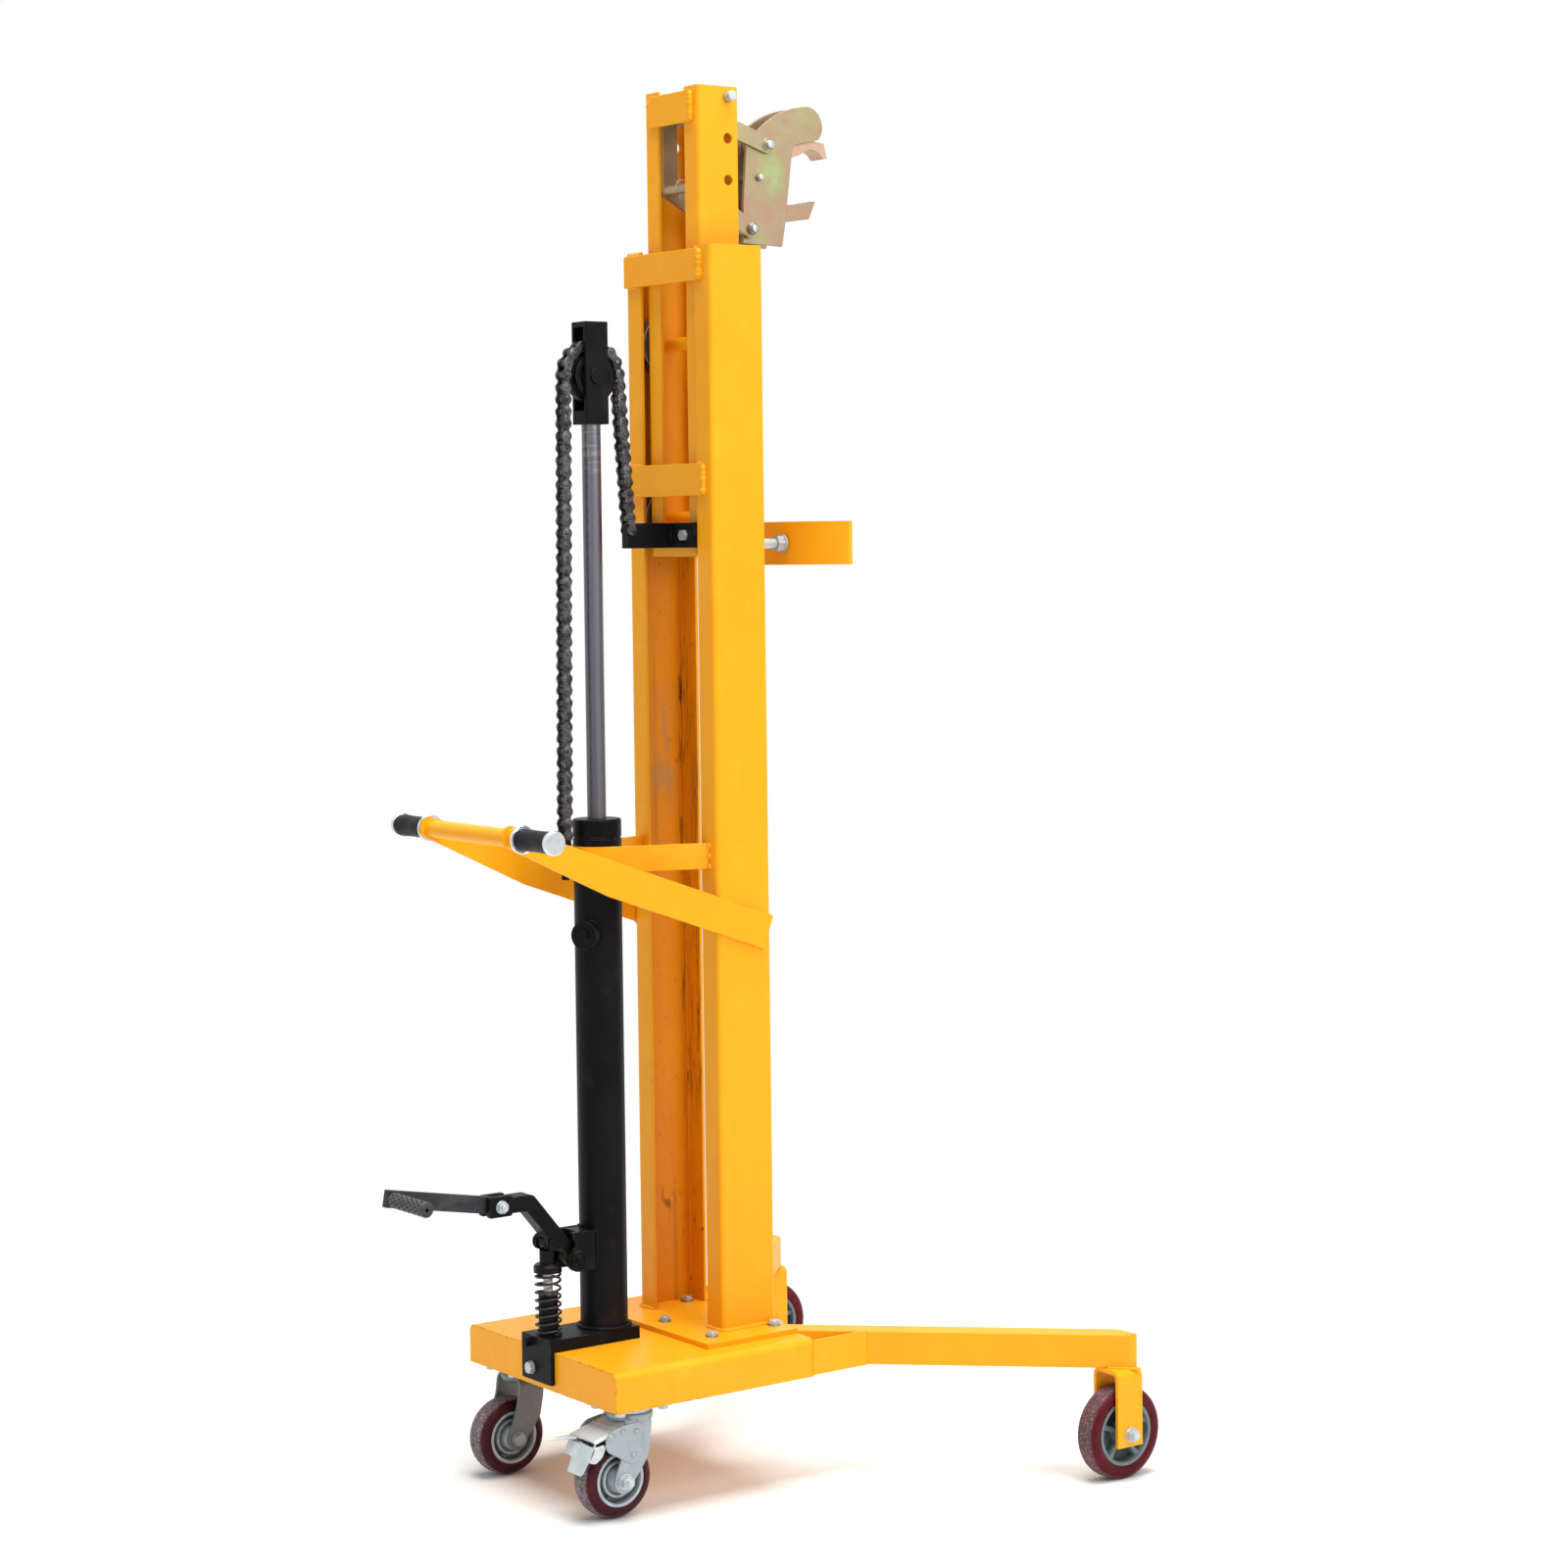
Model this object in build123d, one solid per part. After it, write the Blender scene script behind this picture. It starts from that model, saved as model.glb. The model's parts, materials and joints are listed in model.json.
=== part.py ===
from build123d import *
import math
import os

# Hydraulic drum truck: a hand truck with splayed legs, a two-stage mast, a chain lift worked by a
# foot-pumped cylinder, and a gripper that takes a drum by its rim.
# Lengths are millimetres. +X is the truck's right, +Y is forward and +Z is up. The pieces are drawn about
# the mast's centre line on the floor, and are moved at the end so that the origin is under the middle
# of the whole truck. The mast is drawn raised.

# Driving dimensions: base
tray_width = 432.0
tray_rear = 322.0
tray_front = 54.0
tray_skirt = 62.0
tray_sheet = 5.0
tray_bend = 12.0
pad_thick = 5.0
pad_margin = 5.0
leg_angle = 42.5
leg_width = 40.0
leg_height = 55.0
leg_wall = 4.0
leg_spread = 284.0
leg_tip_y = 488.0
leg_tip_round = 24.0
leg_edge_round = 3.0
gusset_reach = 109.0
gusset_thick = 5.0

# Driving dimensions: front wheels and forks
front_wheel_r = 75.0
front_wheel_room = 22.0
front_tyre_w = 40.0
front_tyre_round = 9.0
front_core_r = 53.0
front_rim_t = 7.0
front_hub_r = 19.0
front_hub_w = 42.0
front_web_t = 5.0
front_axle_y = 466.0
front_axle_r = 6.0
front_nut_af = 19.0
front_nut_h = 8.0
front_washer_r = 12.0
fork_inset = 21.0
fork_width = 58.0
fork_depth = 52.0
fork_plate = 6.0
fork_bend = 12.0
fork_below_axle = 20.0
spoke_count = 5
spoke_t = 12.0

# Driving dimensions: rear casters
rear_wheel_r = 62.5
rear_tyre_w = 50.0
rear_tyre_round = 22.0
rear_core_r = 38.0
rear_rim_t = 6.0
rear_step_r = 25.0
rear_web_t = 14.0
rear_hub_r = 17.0
rear_hub_w = 62.0
rear_axle_r = 5.0
rim_inset = 2.0
caster_inset = 60.0
caster_y = 258.0
caster_room = 51.0
caster_trail = 34.0
caster_plate_x = 92.0
caster_plate_y = 104.0
caster_plate_t = 5.0
caster_plate_round = 10.0
bolt_plate_margin = 12.0
caster_race_r = 33.0
caster_race_h = 8.0
caster_crown_t = 6.0
caster_crown_lip = 2.0
caster_arm_t = 5.0
caster_arm_gap = 0.5
caster_arm_half = 19.0
caster_arm_lead = 18.0
king_pin_r = 6.0
king_head_r = 11.0
king_head_h = 6.0
axle_nut_h = 9.0
brake_gap = 8.0
brake_sheet = 3.0
brake_pivot_r = 4.0
brake_pivot_back = 26.0
brake_pivot_rise = 10.0
brake_reach = 67.0
brake_horn = 14.0
brake_tread_up = 17.0
brake_tread_down = 26.0
rivet_r = 4.5
rivet_h = 2.0

# Driving dimensions: mast
mast_width = 238.0
mast_depth = 104.0
mast_flange = 43.5
mast_wall = 5.0
mast_bend = 8.0
mast_top = 1975.0
foot_width = 348.0
foot_rear = 121.0
foot_thick = 8.0
foot_bolt_rear = 84.0
foot_bolt_out = 13.5
foot_bolt_out_y = 38.0
foot_bolt_in = 23.0
foot_bolt_in_y = 26.0
outer_bar_h = 51.0
outer_bar_t = 6.0
outer_bar_inset = 16.0
top_bar_drop = 5.0
top_bar_offset = -12.0
mid_bar_z = 1605.0
mid_bar_offset = -7.0
inner_side_room = 44.0
inner_face_room = 7.0
inner_slot = 74.0
inner_wall = 5.0
inner_bend = 7.0
inner_bottom = 1483.0
inner_top = 2229.0
inner_bar_h = 50.0
inner_bar_t = 6.0
inner_bar_inset = 19.0
inner_bar_drop = 7.0
bar_edge_round = 1.0
roller_w = 29.0
roller_offset = 4.0
roller_gap = 0.5
roller_edge = 2.0
roller_low_rise = 61.0
roller_spacing = 282.0
roller_groove = 2.0
roller_land = 8.0
shaft_r = 11.0
shaft_collar = 3.0
journal_r = 10.0
shaft_head_r = 15.0
shaft_head_t = 2.5

# Driving dimensions: lift cylinder, sheave and chain
cylinder_y = -201.0
cylinder_r = 38.0
cylinder_wall = 6.5
cylinder_rise = 16.0
cylinder_floor = 20.0
gland_step = 0.6
gland_height = 47.0
gland_groove = 1.5
gland_groove_w = 3.0
gland_round = 3.0
rod_r = 15.0
piston_height = 40.0
piston_skirt = 90.0
block_size = 42.0
block_below = 76.0
block_above = 85.0
block_cheek = 6.5
block_foot = 21.0
block_roof = 8.0
block_round = 2.0
sheave_axle_r = 10.0
sheave_head_r = 13.5
sheave_head_t = 3.0
sheave_hub_r = 19.0
sheave_rim = 6.0
sheave_recess = 4.0
chain_pitch = 19.05
chain_roller_r = 5.95
chain_roller_w = 12.6
chain_plate_h = 17.6
chain_plate_t = 2.4
chain_pin_r = 2.97
chain_pin_head = 1.6
chain_play = 0.15
rear_pitches = 38
wrap_pitches = 8
front_pitches = 13
rear_lean = 0.8
front_lean = 4.3
bracket_rise = 43.0
bracket_h = 40.0
bracket_below = 29.0
bracket_plate_t = 10.0
bracket_overhang = 8.0
bracket_side_gap = 1.5
strap_drop = 39.0
strap_h = 41.0
strap_t = 6.0
strap_foot_inset = 21.0
anchor_r = 6.0
anchor_drop = 70.0
anchor_nut_af = 18.0
anchor_nut_h = 9.0
tongue_neck = 16.0
tongue_edge = 2.0
lug_t = 12.0
lug_width = 40.0
lug_margin = 16.0
plug_drop = 135.0
plug_angle = -60.0
plug_boss_r = 22.5
plug_boss_reach = 13.0
plug_r = 8.0
plug_reach = 19.0
plug_seat = 3.0

# Driving dimensions: foot pump
pump_base_w = 84.0
pump_base_t = 20.0
pump_base_front = 40.0
pump_tab_t = 8.0
pump_tab_drop = 51.0
tab_bolt_x = -12.0
tab_bolt_drop = 31.0
tab_bolt_af = 17.0
tab_bolt_h = 7.0
pump_y = -306.0
barrel_r = 15.5
barrel_h = 64.0
barrel_floor = 4.0
plunger_r = 7.5
plunger_dip = 30.0
plunger_head_r = 13.0
plunger_head_h = 22.0
cup_r = 22.5
cup_h = 13.0
cup_edge = 3.0
spring_r = 19.8
spring_wire = 5.0
spring_length = 100.0
spring_turns = 7
pivot_y = -264.0
pivot_rise = 137.0
pivot_r = 8.0
pivot_overhang = 4.0
lug_plate_t = 9.0
lug_gap = 34.0
lug_round = 15.0
lug_plate_up = 44.0
lug_plate_down = 17.0
lug_sink = 6.0
lever_plate_t = 8.0
lever_gap = 14.0
lever_half = 12.5
lever_roller_r = 11.0
lever_roller_room = 3.0
lever_toe_inset = 1.5
lever_bend_dy = -82.0
lever_bend_dz = 100.0
clevis_dy = -135.0
clevis_dz = 100.0
clevis_tail = 12.0
clevis_nut_h = 10.0
roller_pin_r = 4.0
pedal_h = 27.0
pedal_t = 12.0
pedal_edge = 1.5
pedal_end_dy = -332.0
pedal_end_dz = 136.0
grip_pedal_r = 12.0
grip_pedal_l = 100.0
grip_pedal_drop = 3.0
grip_pedal_hole = 3.0
grip_pedal_deep = 8.0
valve_x = -17.0
valve_rise = 9.0
valve_r = 7.0
valve_reach = 12.0
valve_deep = 24.0
valve_slot = 2.4
valve_slot_deep = 3.0

# Driving dimensions: push handle
handle_plate_t = 6.0
handle_bar_w = 55.0
handle_top_margin = 18.0
handle_slope = 19.6
handle_kink_y = -262.0
handle_end_w = 32.0
handle_end_round = 12.0
handle_tube_y = -431.0
handle_tube_z = 1060.0
handle_tube_r = 14.0
handle_tube_wall = 2.5
handle_half = 231.0
handle_shift = 9.0
grip_r = 17.5
grip_length = 82.0
grip_edge = 2.0
ring_r = 22.0
ring_t = 5.0
ring_edge = 1.5
cap_r = 19.0
cap_t = 8.0
cap_edge = 3.0
cap_spigot = 12.0

# Driving dimensions: backrest and gripper
backrest_r = 300.0
backrest_half = 165.0
backrest_mid_y = 140.0
backrest_t = 6.0
backrest_h = 70.0
backrest_rise = 19.0
stud_r = 8.0
stud_tail = 3.0
stud_nut_af = 24.0
stud_nut_h = 13.0
stud_washer_r = 15.0
stud_washer_t = 3.0
hole_r = 8.5
hole_y = 18.0
hole_drop = 16.0
hole_pitch = 66.0
hole_count = 3
height_pin_r = 8.0
height_pin_out = 16.0
height_pin_back = 10.0
height_pin_edge = 1.5
plate_gap = 38.0
plate_t = 6.0
jaw_width = 34.0
jaw_pivot_dy = 111.0
jaw_pivot_drop = 65.0
jaw_pin_r = 6.0
guide_pin_dy = -15.0
guide_pin_dz = -53.0
lower_bolt_dy = -38.0
lower_bolt_dz = -138.0
pin_tail = 8.0
guide_tail = 4.0
pin_washer_r = 10.0
link_t = 5.0
link_w = 28.0
link_back_room = 19.0
link_back_drop = 17.0
carrier_t = 6.0
carrier_bar_w = 28.0
cross_rod_r = 8.0
cross_rod_drop = 142.0
cross_rod_gap = 1.0

# Fasteners of one size, and clearances
bolt_r = 5.0
bolt_af = 16.0
bolt_head_h = 6.4
washer_r = 10.5
washer_t = 2.0
run_gap = 0.05
seat_gap = 0.3
side_gap = 0.5

# Values that follow from the driving dimensions
tray_half = tray_width / 2
over_front = 2 * front_wheel_r + front_wheel_room + fork_plate
over_rear = 2 * rear_wheel_r + caster_room + tray_skirt - tray_sheet - leg_height
# The frame clears the larger of the two wheels
leg_bottom = max(over_front, over_rear)
leg_top = leg_bottom + leg_height
tray_top = leg_top + tray_sheet
skirt_bottom = tray_top - tray_skirt
leg_tip_x = tray_half + leg_spread
fork_x = leg_tip_x - fork_inset
gusset_end = tray_front + gusset_reach
leg_slope = math.tan(math.radians(leg_angle))
leg_inset = leg_width / math.cos(math.radians(leg_angle))
caster_x = tray_half - caster_inset
foot_top = tray_top + foot_thick
mast_half = mast_width / 2
mast_back = -mast_depth / 2
inner_half = mast_half - inner_side_room
inner_flange = inner_half - inner_slot / 2
inner_depth = mast_depth - 2 * (mast_wall + inner_face_room)
inner_back = -inner_depth / 2
roller_r = mast_depth / 2 - mast_wall - roller_gap
roller_x0 = inner_half + roller_offset
roller_x1 = roller_x0 + roller_w
roller_lower_z = inner_bottom + roller_low_rise
roller_upper_z = roller_lower_z + roller_spacing
rear_tilt = math.radians(rear_lean)
front_tilt = math.radians(front_lean)
wrap_angle = math.pi - rear_tilt - front_tilt
sheave_r = chain_pitch / (2 * math.sin(wrap_angle / (2 * wrap_pitches)))
rear_run = rear_pitches * chain_pitch
front_run = front_pitches * chain_pitch
front_pin_z = inner_bottom + bracket_rise
sheave_z = front_pin_z + front_run * math.cos(front_tilt) - sheave_r * math.sin(front_tilt)
chain_rear_y = cylinder_y - sheave_r * math.cos(rear_tilt)
chain_rear_z = sheave_z + sheave_r * math.sin(rear_tilt)
chain_front_y = cylinder_y + sheave_r * math.cos(front_tilt)
chain_front_z = sheave_z + sheave_r * math.sin(front_tilt)
anchor_y = chain_rear_y - rear_run * math.sin(rear_tilt)
anchor_z = chain_rear_z - rear_run * math.cos(rear_tilt)
front_pin_y = chain_front_y + front_run * math.sin(front_tilt)
block_bottom = sheave_z - block_below
block_top = sheave_z + block_above
strap_z = anchor_z - strap_drop
strap_foot_x = mast_half - strap_foot_inset
cylinder_bore = cylinder_r - cylinder_wall
cylinder_top = strap_z + cylinder_rise
gland_r = cylinder_r + gland_step
gland_top = cylinder_top + gland_height
strap_inner_r = gland_r + seat_gap
plug_z = cylinder_top - plug_drop
pump_base_top = tray_top + pump_base_t
tab_back = -tray_rear - pump_tab_t
tab_bolt_z = tray_top - tab_bolt_drop
valve_z = tray_top + valve_rise
spring_top = pump_base_top + spring_length
cup_top = spring_top + cup_h
head_top = cup_top + plunger_head_h
pivot_z = tray_top + pivot_rise
lever_roller_y = pump_y
lever_roller_z = head_top + lever_roller_r + seat_gap
lever_bend_y = pivot_y + lever_bend_dy
lever_bend_z = pivot_z + lever_bend_dz
clevis_y = pivot_y + clevis_dy
clevis_z = pivot_z + clevis_dz
pedal_end_y = pivot_y + pedal_end_dy
pedal_end_z = pivot_z + pedal_end_dz
handle_x = mast_half + handle_plate_t
ring_x = handle_half - cap_t - grip_length - ring_t
grip_x = ring_x + ring_t
backrest_z = inner_bottom + backrest_rise
hole_top = inner_top - hole_drop
jaw_pivot_y = hole_y + jaw_pivot_dy
jaw_pivot_z = hole_top - jaw_pivot_drop
guide_pin_y = jaw_pivot_y + guide_pin_dy
guide_pin_z = jaw_pivot_z + guide_pin_dz
lower_bolt_y = jaw_pivot_y + lower_bolt_dy
lower_bolt_z = jaw_pivot_z + lower_bolt_dz
jaw_plate_x = plate_gap / 2
jaw_plate_out = jaw_plate_x + plate_t
link_x = jaw_plate_out + seat_gap
carrier_x = link_x + link_t + seat_gap
link_back_y = inner_back + link_back_room
link_back_z = hole_top - link_back_drop
cross_rod_y = inner_back + inner_wall + cross_rod_r + seat_gap
cross_rod_z = hole_top - cross_rod_drop
caster_bolt_x = caster_plate_x / 2 - bolt_plate_margin
caster_bolt_y = caster_plate_y / 2 - bolt_plate_margin
caster_bolt_places = [
    (-caster_bolt_x, -caster_bolt_y),
    (caster_bolt_x, -caster_bolt_y),
    (-caster_bolt_x, caster_bolt_y),
    (caster_bolt_x, caster_bolt_y),
]
front_reach = front_axle_y + front_wheel_r
pedal_slope = math.atan2(pedal_end_z - clevis_z, clevis_y - pedal_end_y)
rear_reach = pedal_end_y - math.sin(pedal_slope) * pedal_h / 2
origin_shift = -(front_reach + rear_reach) / 2

pieces = {}


def block(x0, x1, y0, y1, z0, z1):
    return Pos((x0 + x1) / 2, (y0 + y1) / 2, (z0 + z1) / 2) * Box(x1 - x0, y1 - y0, z1 - z0)


def upright(radius, length):
    return Cylinder(radius, length, align=(Align.CENTER, Align.CENTER, Align.MIN))


def rod_x(radius, x0, x1, y, z):
    return Pos(x0, y, z) * Rot(0, 90, 0) * upright(radius, x1 - x0)


def rod_y(radius, y0, y1, x, z):
    return Pos(x, y0, z) * Rot(-90, 0, 0) * upright(radius, y1 - y0)


def rod_z(radius, z0, z1, x, y):
    return Pos(x, y, z0) * upright(radius, z1 - z0)


def hexagon(across_flats, height):
    return extrude(RegularPolygon(across_flats / 2, 6, major_radius=False), height)


def hex_x(across_flats, x0, x1, y, z):
    return Pos(x0, y, z) * Rot(0, 90, 0) * hexagon(across_flats, x1 - x0)


def hex_y(across_flats, y0, y1, x, z):
    return Pos(x, y0, z) * Rot(-90, 0, 0) * hexagon(across_flats, y1 - y0)


def outline(points):
    return make_face(Polyline(*points, close=True))


def prism_x(points, x0, x1):
    # A prism along X from an outline of (y, z) points
    return extrude(Plane.YZ.offset(x0) * outline(points), x1 - x0)


def prism_z(points, z0, z1):
    # A prism along Z from an outline of (x, y) points
    return extrude(Plane.XY.offset(z0) * outline(points), z1 - z0)


def plate_x(face, x0, x1):
    # A plate along X from a face drawn in (y, z)
    return extrude(Plane.YZ.offset(x0) * face, x1 - x0)


def mirrored(shape):
    return mirror(shape, about=Plane.YZ)


def group(*shapes):
    solids = []
    for shape in shapes:
        solids.extend(shape.solids())
    return Compound(solids)


def round_corners(face, points, radius):
    # Rounds those corners of a face that lie at the given points
    corners = []
    for point in points:
        corners.append(face.vertices().sort_by_distance(Vector(point[0], point[1], 0))[0])
    return fillet(corners, radius)


# Base tray: top sheet folded down at both sides and the rear, welded up at its corners
def tray_envelope(inset, bend):
    half = tray_half - inset
    rear = -tray_rear + inset
    top = tray_top - inset
    low = skirt_bottom - inset
    front = tray_front + inset
    across = outline([(-half, low), (half, low), (half, top), (-half, top)])
    across = round_corners(across, [(half, top), (-half, top)], bend)
    along = outline([(rear, low), (front, low), (front, top), (rear, top)])
    along = round_corners(along, [(rear, top)], bend)
    lengthwise = extrude(Plane.XZ.offset(-front) * across, front - rear)
    crosswise = plate_x(along, -half, half)
    return lengthwise & crosswise


def base_tray():
    tray = tray_envelope(0.0, tray_bend) - tray_envelope(tray_sheet, tray_bend - tray_sheet)
    pad_in = caster_x - caster_plate_x / 2 - pad_margin
    pad_front = -caster_y + caster_plate_y / 2 + pad_margin
    pad_rear = -tray_rear + tray_sheet / 2
    pad_out = tray_half - tray_sheet / 2
    pad_top = skirt_bottom + pad_thick
    pad = block(pad_in, pad_out, pad_rear, pad_front, skirt_bottom, pad_top)
    for x, y in caster_bolt_places:
        pad = pad - rod_z(bolt_r + run_gap, skirt_bottom - 1, pad_top + 1, caster_x + x, y - caster_y)
    return tray + pad + mirrored(pad)


# Legs: closed tubes mitred together on the centre plane, that splay outwards to the wheels
def leg_outer_x(y):
    return tray_half + (y - gusset_end) * leg_slope


def leg_outer_y(x):
    return gusset_end + (x - tray_half) / leg_slope


def leg_plan(inset, tip_inset, mitre_x, tip_round):
    step = inset / math.cos(math.radians(leg_angle))
    outer = step
    inner = leg_inset - step
    tip_x = leg_tip_x - tip_inset
    tip_y = leg_tip_y - tip_inset
    inner_tip = (leg_outer_x(tip_y) - inner, tip_y)
    points = [
        (mitre_x, leg_outer_y(mitre_x + outer)),
        (tip_x, leg_outer_y(tip_x + outer)),
        (tip_x, tip_y),
        inner_tip,
        (mitre_x, leg_outer_y(mitre_x + inner)),
    ]
    return round_corners(outline(points), [inner_tip], tip_round)


def leg():
    tube = extrude(Plane.XY.offset(leg_bottom) * leg_plan(0.0, 0.0, 0.0, leg_tip_round), leg_height)
    long_edges = tube.edges().filter_by(GeomType.LINE).filter_by(lambda edge: edge.length > leg_tip_y / 2)
    tube = fillet(long_edges, leg_edge_round)
    core = leg_plan(leg_wall, leg_wall, -leg_wall, leg_tip_round - leg_wall)
    hollow = extrude(Plane.XY.offset(leg_bottom + leg_wall) * core, leg_height - 2 * leg_wall)
    return tube - hollow


def side_gusset():
    inside = tray_half - gusset_thick
    points = [
        (tray_half, tray_front),
        (inside, tray_front),
        (inside, leg_outer_y(inside)),
        (tray_half, gusset_end),
    ]
    return prism_z(points, leg_bottom, leg_top)


# Front forks: flat bar bent to an upside-down U under each leg's tip
fork_left = fork_x - fork_width / 2
fork_right = fork_x + fork_width / 2
fork_bottom = front_wheel_r - fork_below_axle


def front_fork():
    x0 = fork_left
    x1 = fork_right
    outer = outline([(x0, fork_bottom), (x1, fork_bottom), (x1, leg_bottom), (x0, leg_bottom)])
    outer = round_corners(outer, [(x0, leg_bottom), (x1, leg_bottom)], fork_bend)
    inner_top = leg_bottom - fork_plate
    inner = outline([
        (x0 + fork_plate, fork_bottom - fork_plate),
        (x1 - fork_plate, fork_bottom - fork_plate),
        (x1 - fork_plate, inner_top),
        (x0 + fork_plate, inner_top),
    ])
    inner = round_corners(
        inner, [(x0 + fork_plate, inner_top), (x1 - fork_plate, inner_top)], fork_bend - fork_plate
    )
    bent = extrude(Plane.XZ.offset(-front_axle_y - fork_depth / 2) * (outer - inner), fork_depth)
    return bent - rod_x(front_axle_r + run_gap, x0 - 1, x1 + 1, front_axle_y, front_wheel_r)


def front_axle():
    # Hexagon bolt from the inside with a washer and a lock nut on the outside
    nut_start = fork_right + washer_t
    nut_end = nut_start + front_nut_h
    collar_end = nut_end + front_nut_h / 2
    head = hex_x(front_nut_af, fork_left - front_nut_h, fork_left, front_axle_y, front_wheel_r)
    shank = rod_x(front_axle_r, fork_left, collar_end + washer_t, front_axle_y, front_wheel_r)
    washer = rod_x(front_washer_r, fork_right, nut_start, front_axle_y, front_wheel_r)
    nut = hex_x(front_nut_af, nut_start, nut_end, front_axle_y, front_wheel_r)
    collar = rod_x(front_axle_r + washer_t, nut_end, collar_end, front_axle_y, front_wheel_r)
    hole = rod_x(front_axle_r + run_gap, fork_right, collar_end + 1, front_axle_y, front_wheel_r)
    return group(head + shank, washer - hole, nut + collar - hole)


def tyre(radius, width, core_radius, shoulder):
    ring = Cylinder(radius, width)
    ring = fillet(ring.edges().filter_by(GeomType.CIRCLE), shoulder)
    return ring - Cylinder(core_radius + run_gap, width + 2)


def front_core():
    rim_w = front_tyre_w - 2 * rim_inset
    rim_in = front_core_r - front_rim_t
    core = Cylinder(front_core_r, rim_w) - Cylinder(rim_in, front_tyre_w)
    core = core + Cylinder(rim_in + 1, front_web_t) + Cylinder(front_hub_r, front_hub_w)
    spoke = Pos((front_hub_r + rim_in) / 2, 0, 0) * Box(rim_in - front_hub_r + 4, spoke_t, rim_w - 6)
    for index in range(spoke_count):
        core = core + Rot(0, 0, 360 / spoke_count * index) * spoke
    return core - Cylinder(front_axle_r + run_gap, front_hub_w + 2)


def rear_core():
    rim_w = rear_tyre_w - 2 * rim_inset
    rim_in = rear_core_r - rear_rim_t
    core = Cylinder(rear_core_r, rim_w) - Cylinder(rim_in, rear_tyre_w)
    core = core + Cylinder(rim_in + 1, rear_web_t) + Cylinder(rear_step_r, rim_w - 6)
    return core + Cylinder(rear_hub_r, rear_hub_w) - Cylinder(rear_axle_r + run_gap, rear_hub_w + 2)


def front_wheel():
    place = Pos(fork_x, front_axle_y, front_wheel_r) * Rot(0, 90, 0)
    rubber = tyre(front_wheel_r, front_tyre_w, front_core_r, front_tyre_round)
    return group(place * front_core(), place * rubber)


# Rear casters, drawn about the swivel axis with the wheel trailing to the rear
plate_bottom = skirt_bottom - caster_plate_t
race_bottom = plate_bottom - caster_race_h
crown_top = race_bottom - side_gap
crown_bottom = crown_top - caster_crown_t
arm_in = rear_hub_w / 2 + caster_arm_gap
arm_out = arm_in + caster_arm_t
caster_axle_y = -caster_trail


def caster_plate():
    half_x = caster_plate_x / 2
    half_y = caster_plate_y / 2
    plate = block(-half_x, half_x, -half_y, half_y, plate_bottom, skirt_bottom)
    plate = fillet(plate.edges().filter_by(Axis.Z), caster_plate_round)
    race = rod_z(caster_race_r, race_bottom, plate_bottom, 0, 0)
    pin = rod_z(king_pin_r, crown_bottom - king_head_h, race_bottom, 0, 0)
    pin_head = rod_z(king_head_r, crown_bottom - king_head_h - side_gap, crown_bottom - side_gap, 0, 0)
    plate = plate + race + pin + pin_head
    for x, y in caster_bolt_places:
        plate = plate - rod_z(bolt_r + run_gap, plate_bottom - 1, skirt_bottom + 1, x, y)
    return plate


def caster_bolts():
    bolts = []
    for x, y in caster_bolt_places:
        shank = rod_z(bolt_r, plate_bottom, skirt_bottom + pad_thick + bolt_head_h, x, y)
        head = Pos(x, y, plate_bottom - bolt_head_h) * hexagon(bolt_af, bolt_head_h)
        bolts.append(shank + head)
    return bolts


def caster_arm():
    # Bar that leans back from the crown to the axle
    half = caster_arm_half
    lead = caster_axle_y + caster_arm_lead
    foot = rear_wheel_r - half + caster_arm_t
    points = [
        (lead - half, crown_top),
        (lead + half, crown_top),
        (lead + half, crown_bottom - caster_crown_t),
        (caster_axle_y + half, rear_wheel_r),
        (caster_axle_y + half / 2, foot),
        (caster_axle_y - half / 2, foot),
        (caster_axle_y - half, rear_wheel_r),
        (lead - half, crown_bottom - caster_crown_t),
    ]
    arm = prism_x(points, arm_in, arm_out)
    return fillet(arm.edges().filter_by(Axis.X), caster_arm_t)


def caster_fork():
    lead = caster_axle_y + caster_arm_lead
    crown = rod_z(caster_race_r + caster_crown_lip, crown_bottom, crown_top, 0, 0)
    bridge_half = caster_arm_half - caster_arm_t
    bridge = block(-arm_out, arm_out, lead - bridge_half, lead + bridge_half, crown_bottom, crown_top)
    fork = crown + bridge + caster_arm() + mirrored(caster_arm())
    fork = fork - rod_z(king_pin_r + run_gap, crown_bottom - 1, crown_top + 1, 0, 0)
    return fork - rod_x(rear_axle_r + run_gap, -arm_out - 1, arm_out + 1, caster_axle_y, rear_wheel_r)


def caster_axle():
    # Axle bolt with its washer and lock nut on the right
    nut_start = arm_out + washer_t
    nut_end = nut_start + axle_nut_h
    head = hex_x(bolt_af, -arm_out - bolt_head_h, -arm_out, caster_axle_y, rear_wheel_r)
    shank = rod_x(rear_axle_r, -arm_out, nut_end + washer_t, caster_axle_y, rear_wheel_r)
    hole = rod_x(rear_axle_r + run_gap, arm_out, nut_end + 1, caster_axle_y, rear_wheel_r)
    washer = rod_x(washer_r, arm_out, nut_start, caster_axle_y, rear_wheel_r)
    nut = hex_x(bolt_af, nut_start, nut_end, caster_axle_y, rear_wheel_r)
    return group(head + shank, washer - hole, nut - hole)


def rear_wheel():
    place = Pos(0, caster_axle_y, rear_wheel_r) * Rot(0, 90, 0)
    rubber = tyre(rear_wheel_r, rear_tyre_w, rear_core_r, rear_tyre_round)
    return group(place * rear_core(), place * rubber)


# Brake on the right caster: two riveted cheeks carry a rocking pedal over the tyre
brake_pivot_y = caster_axle_y - brake_pivot_back
brake_pivot_z = 2 * rear_wheel_r + brake_pivot_rise


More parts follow.
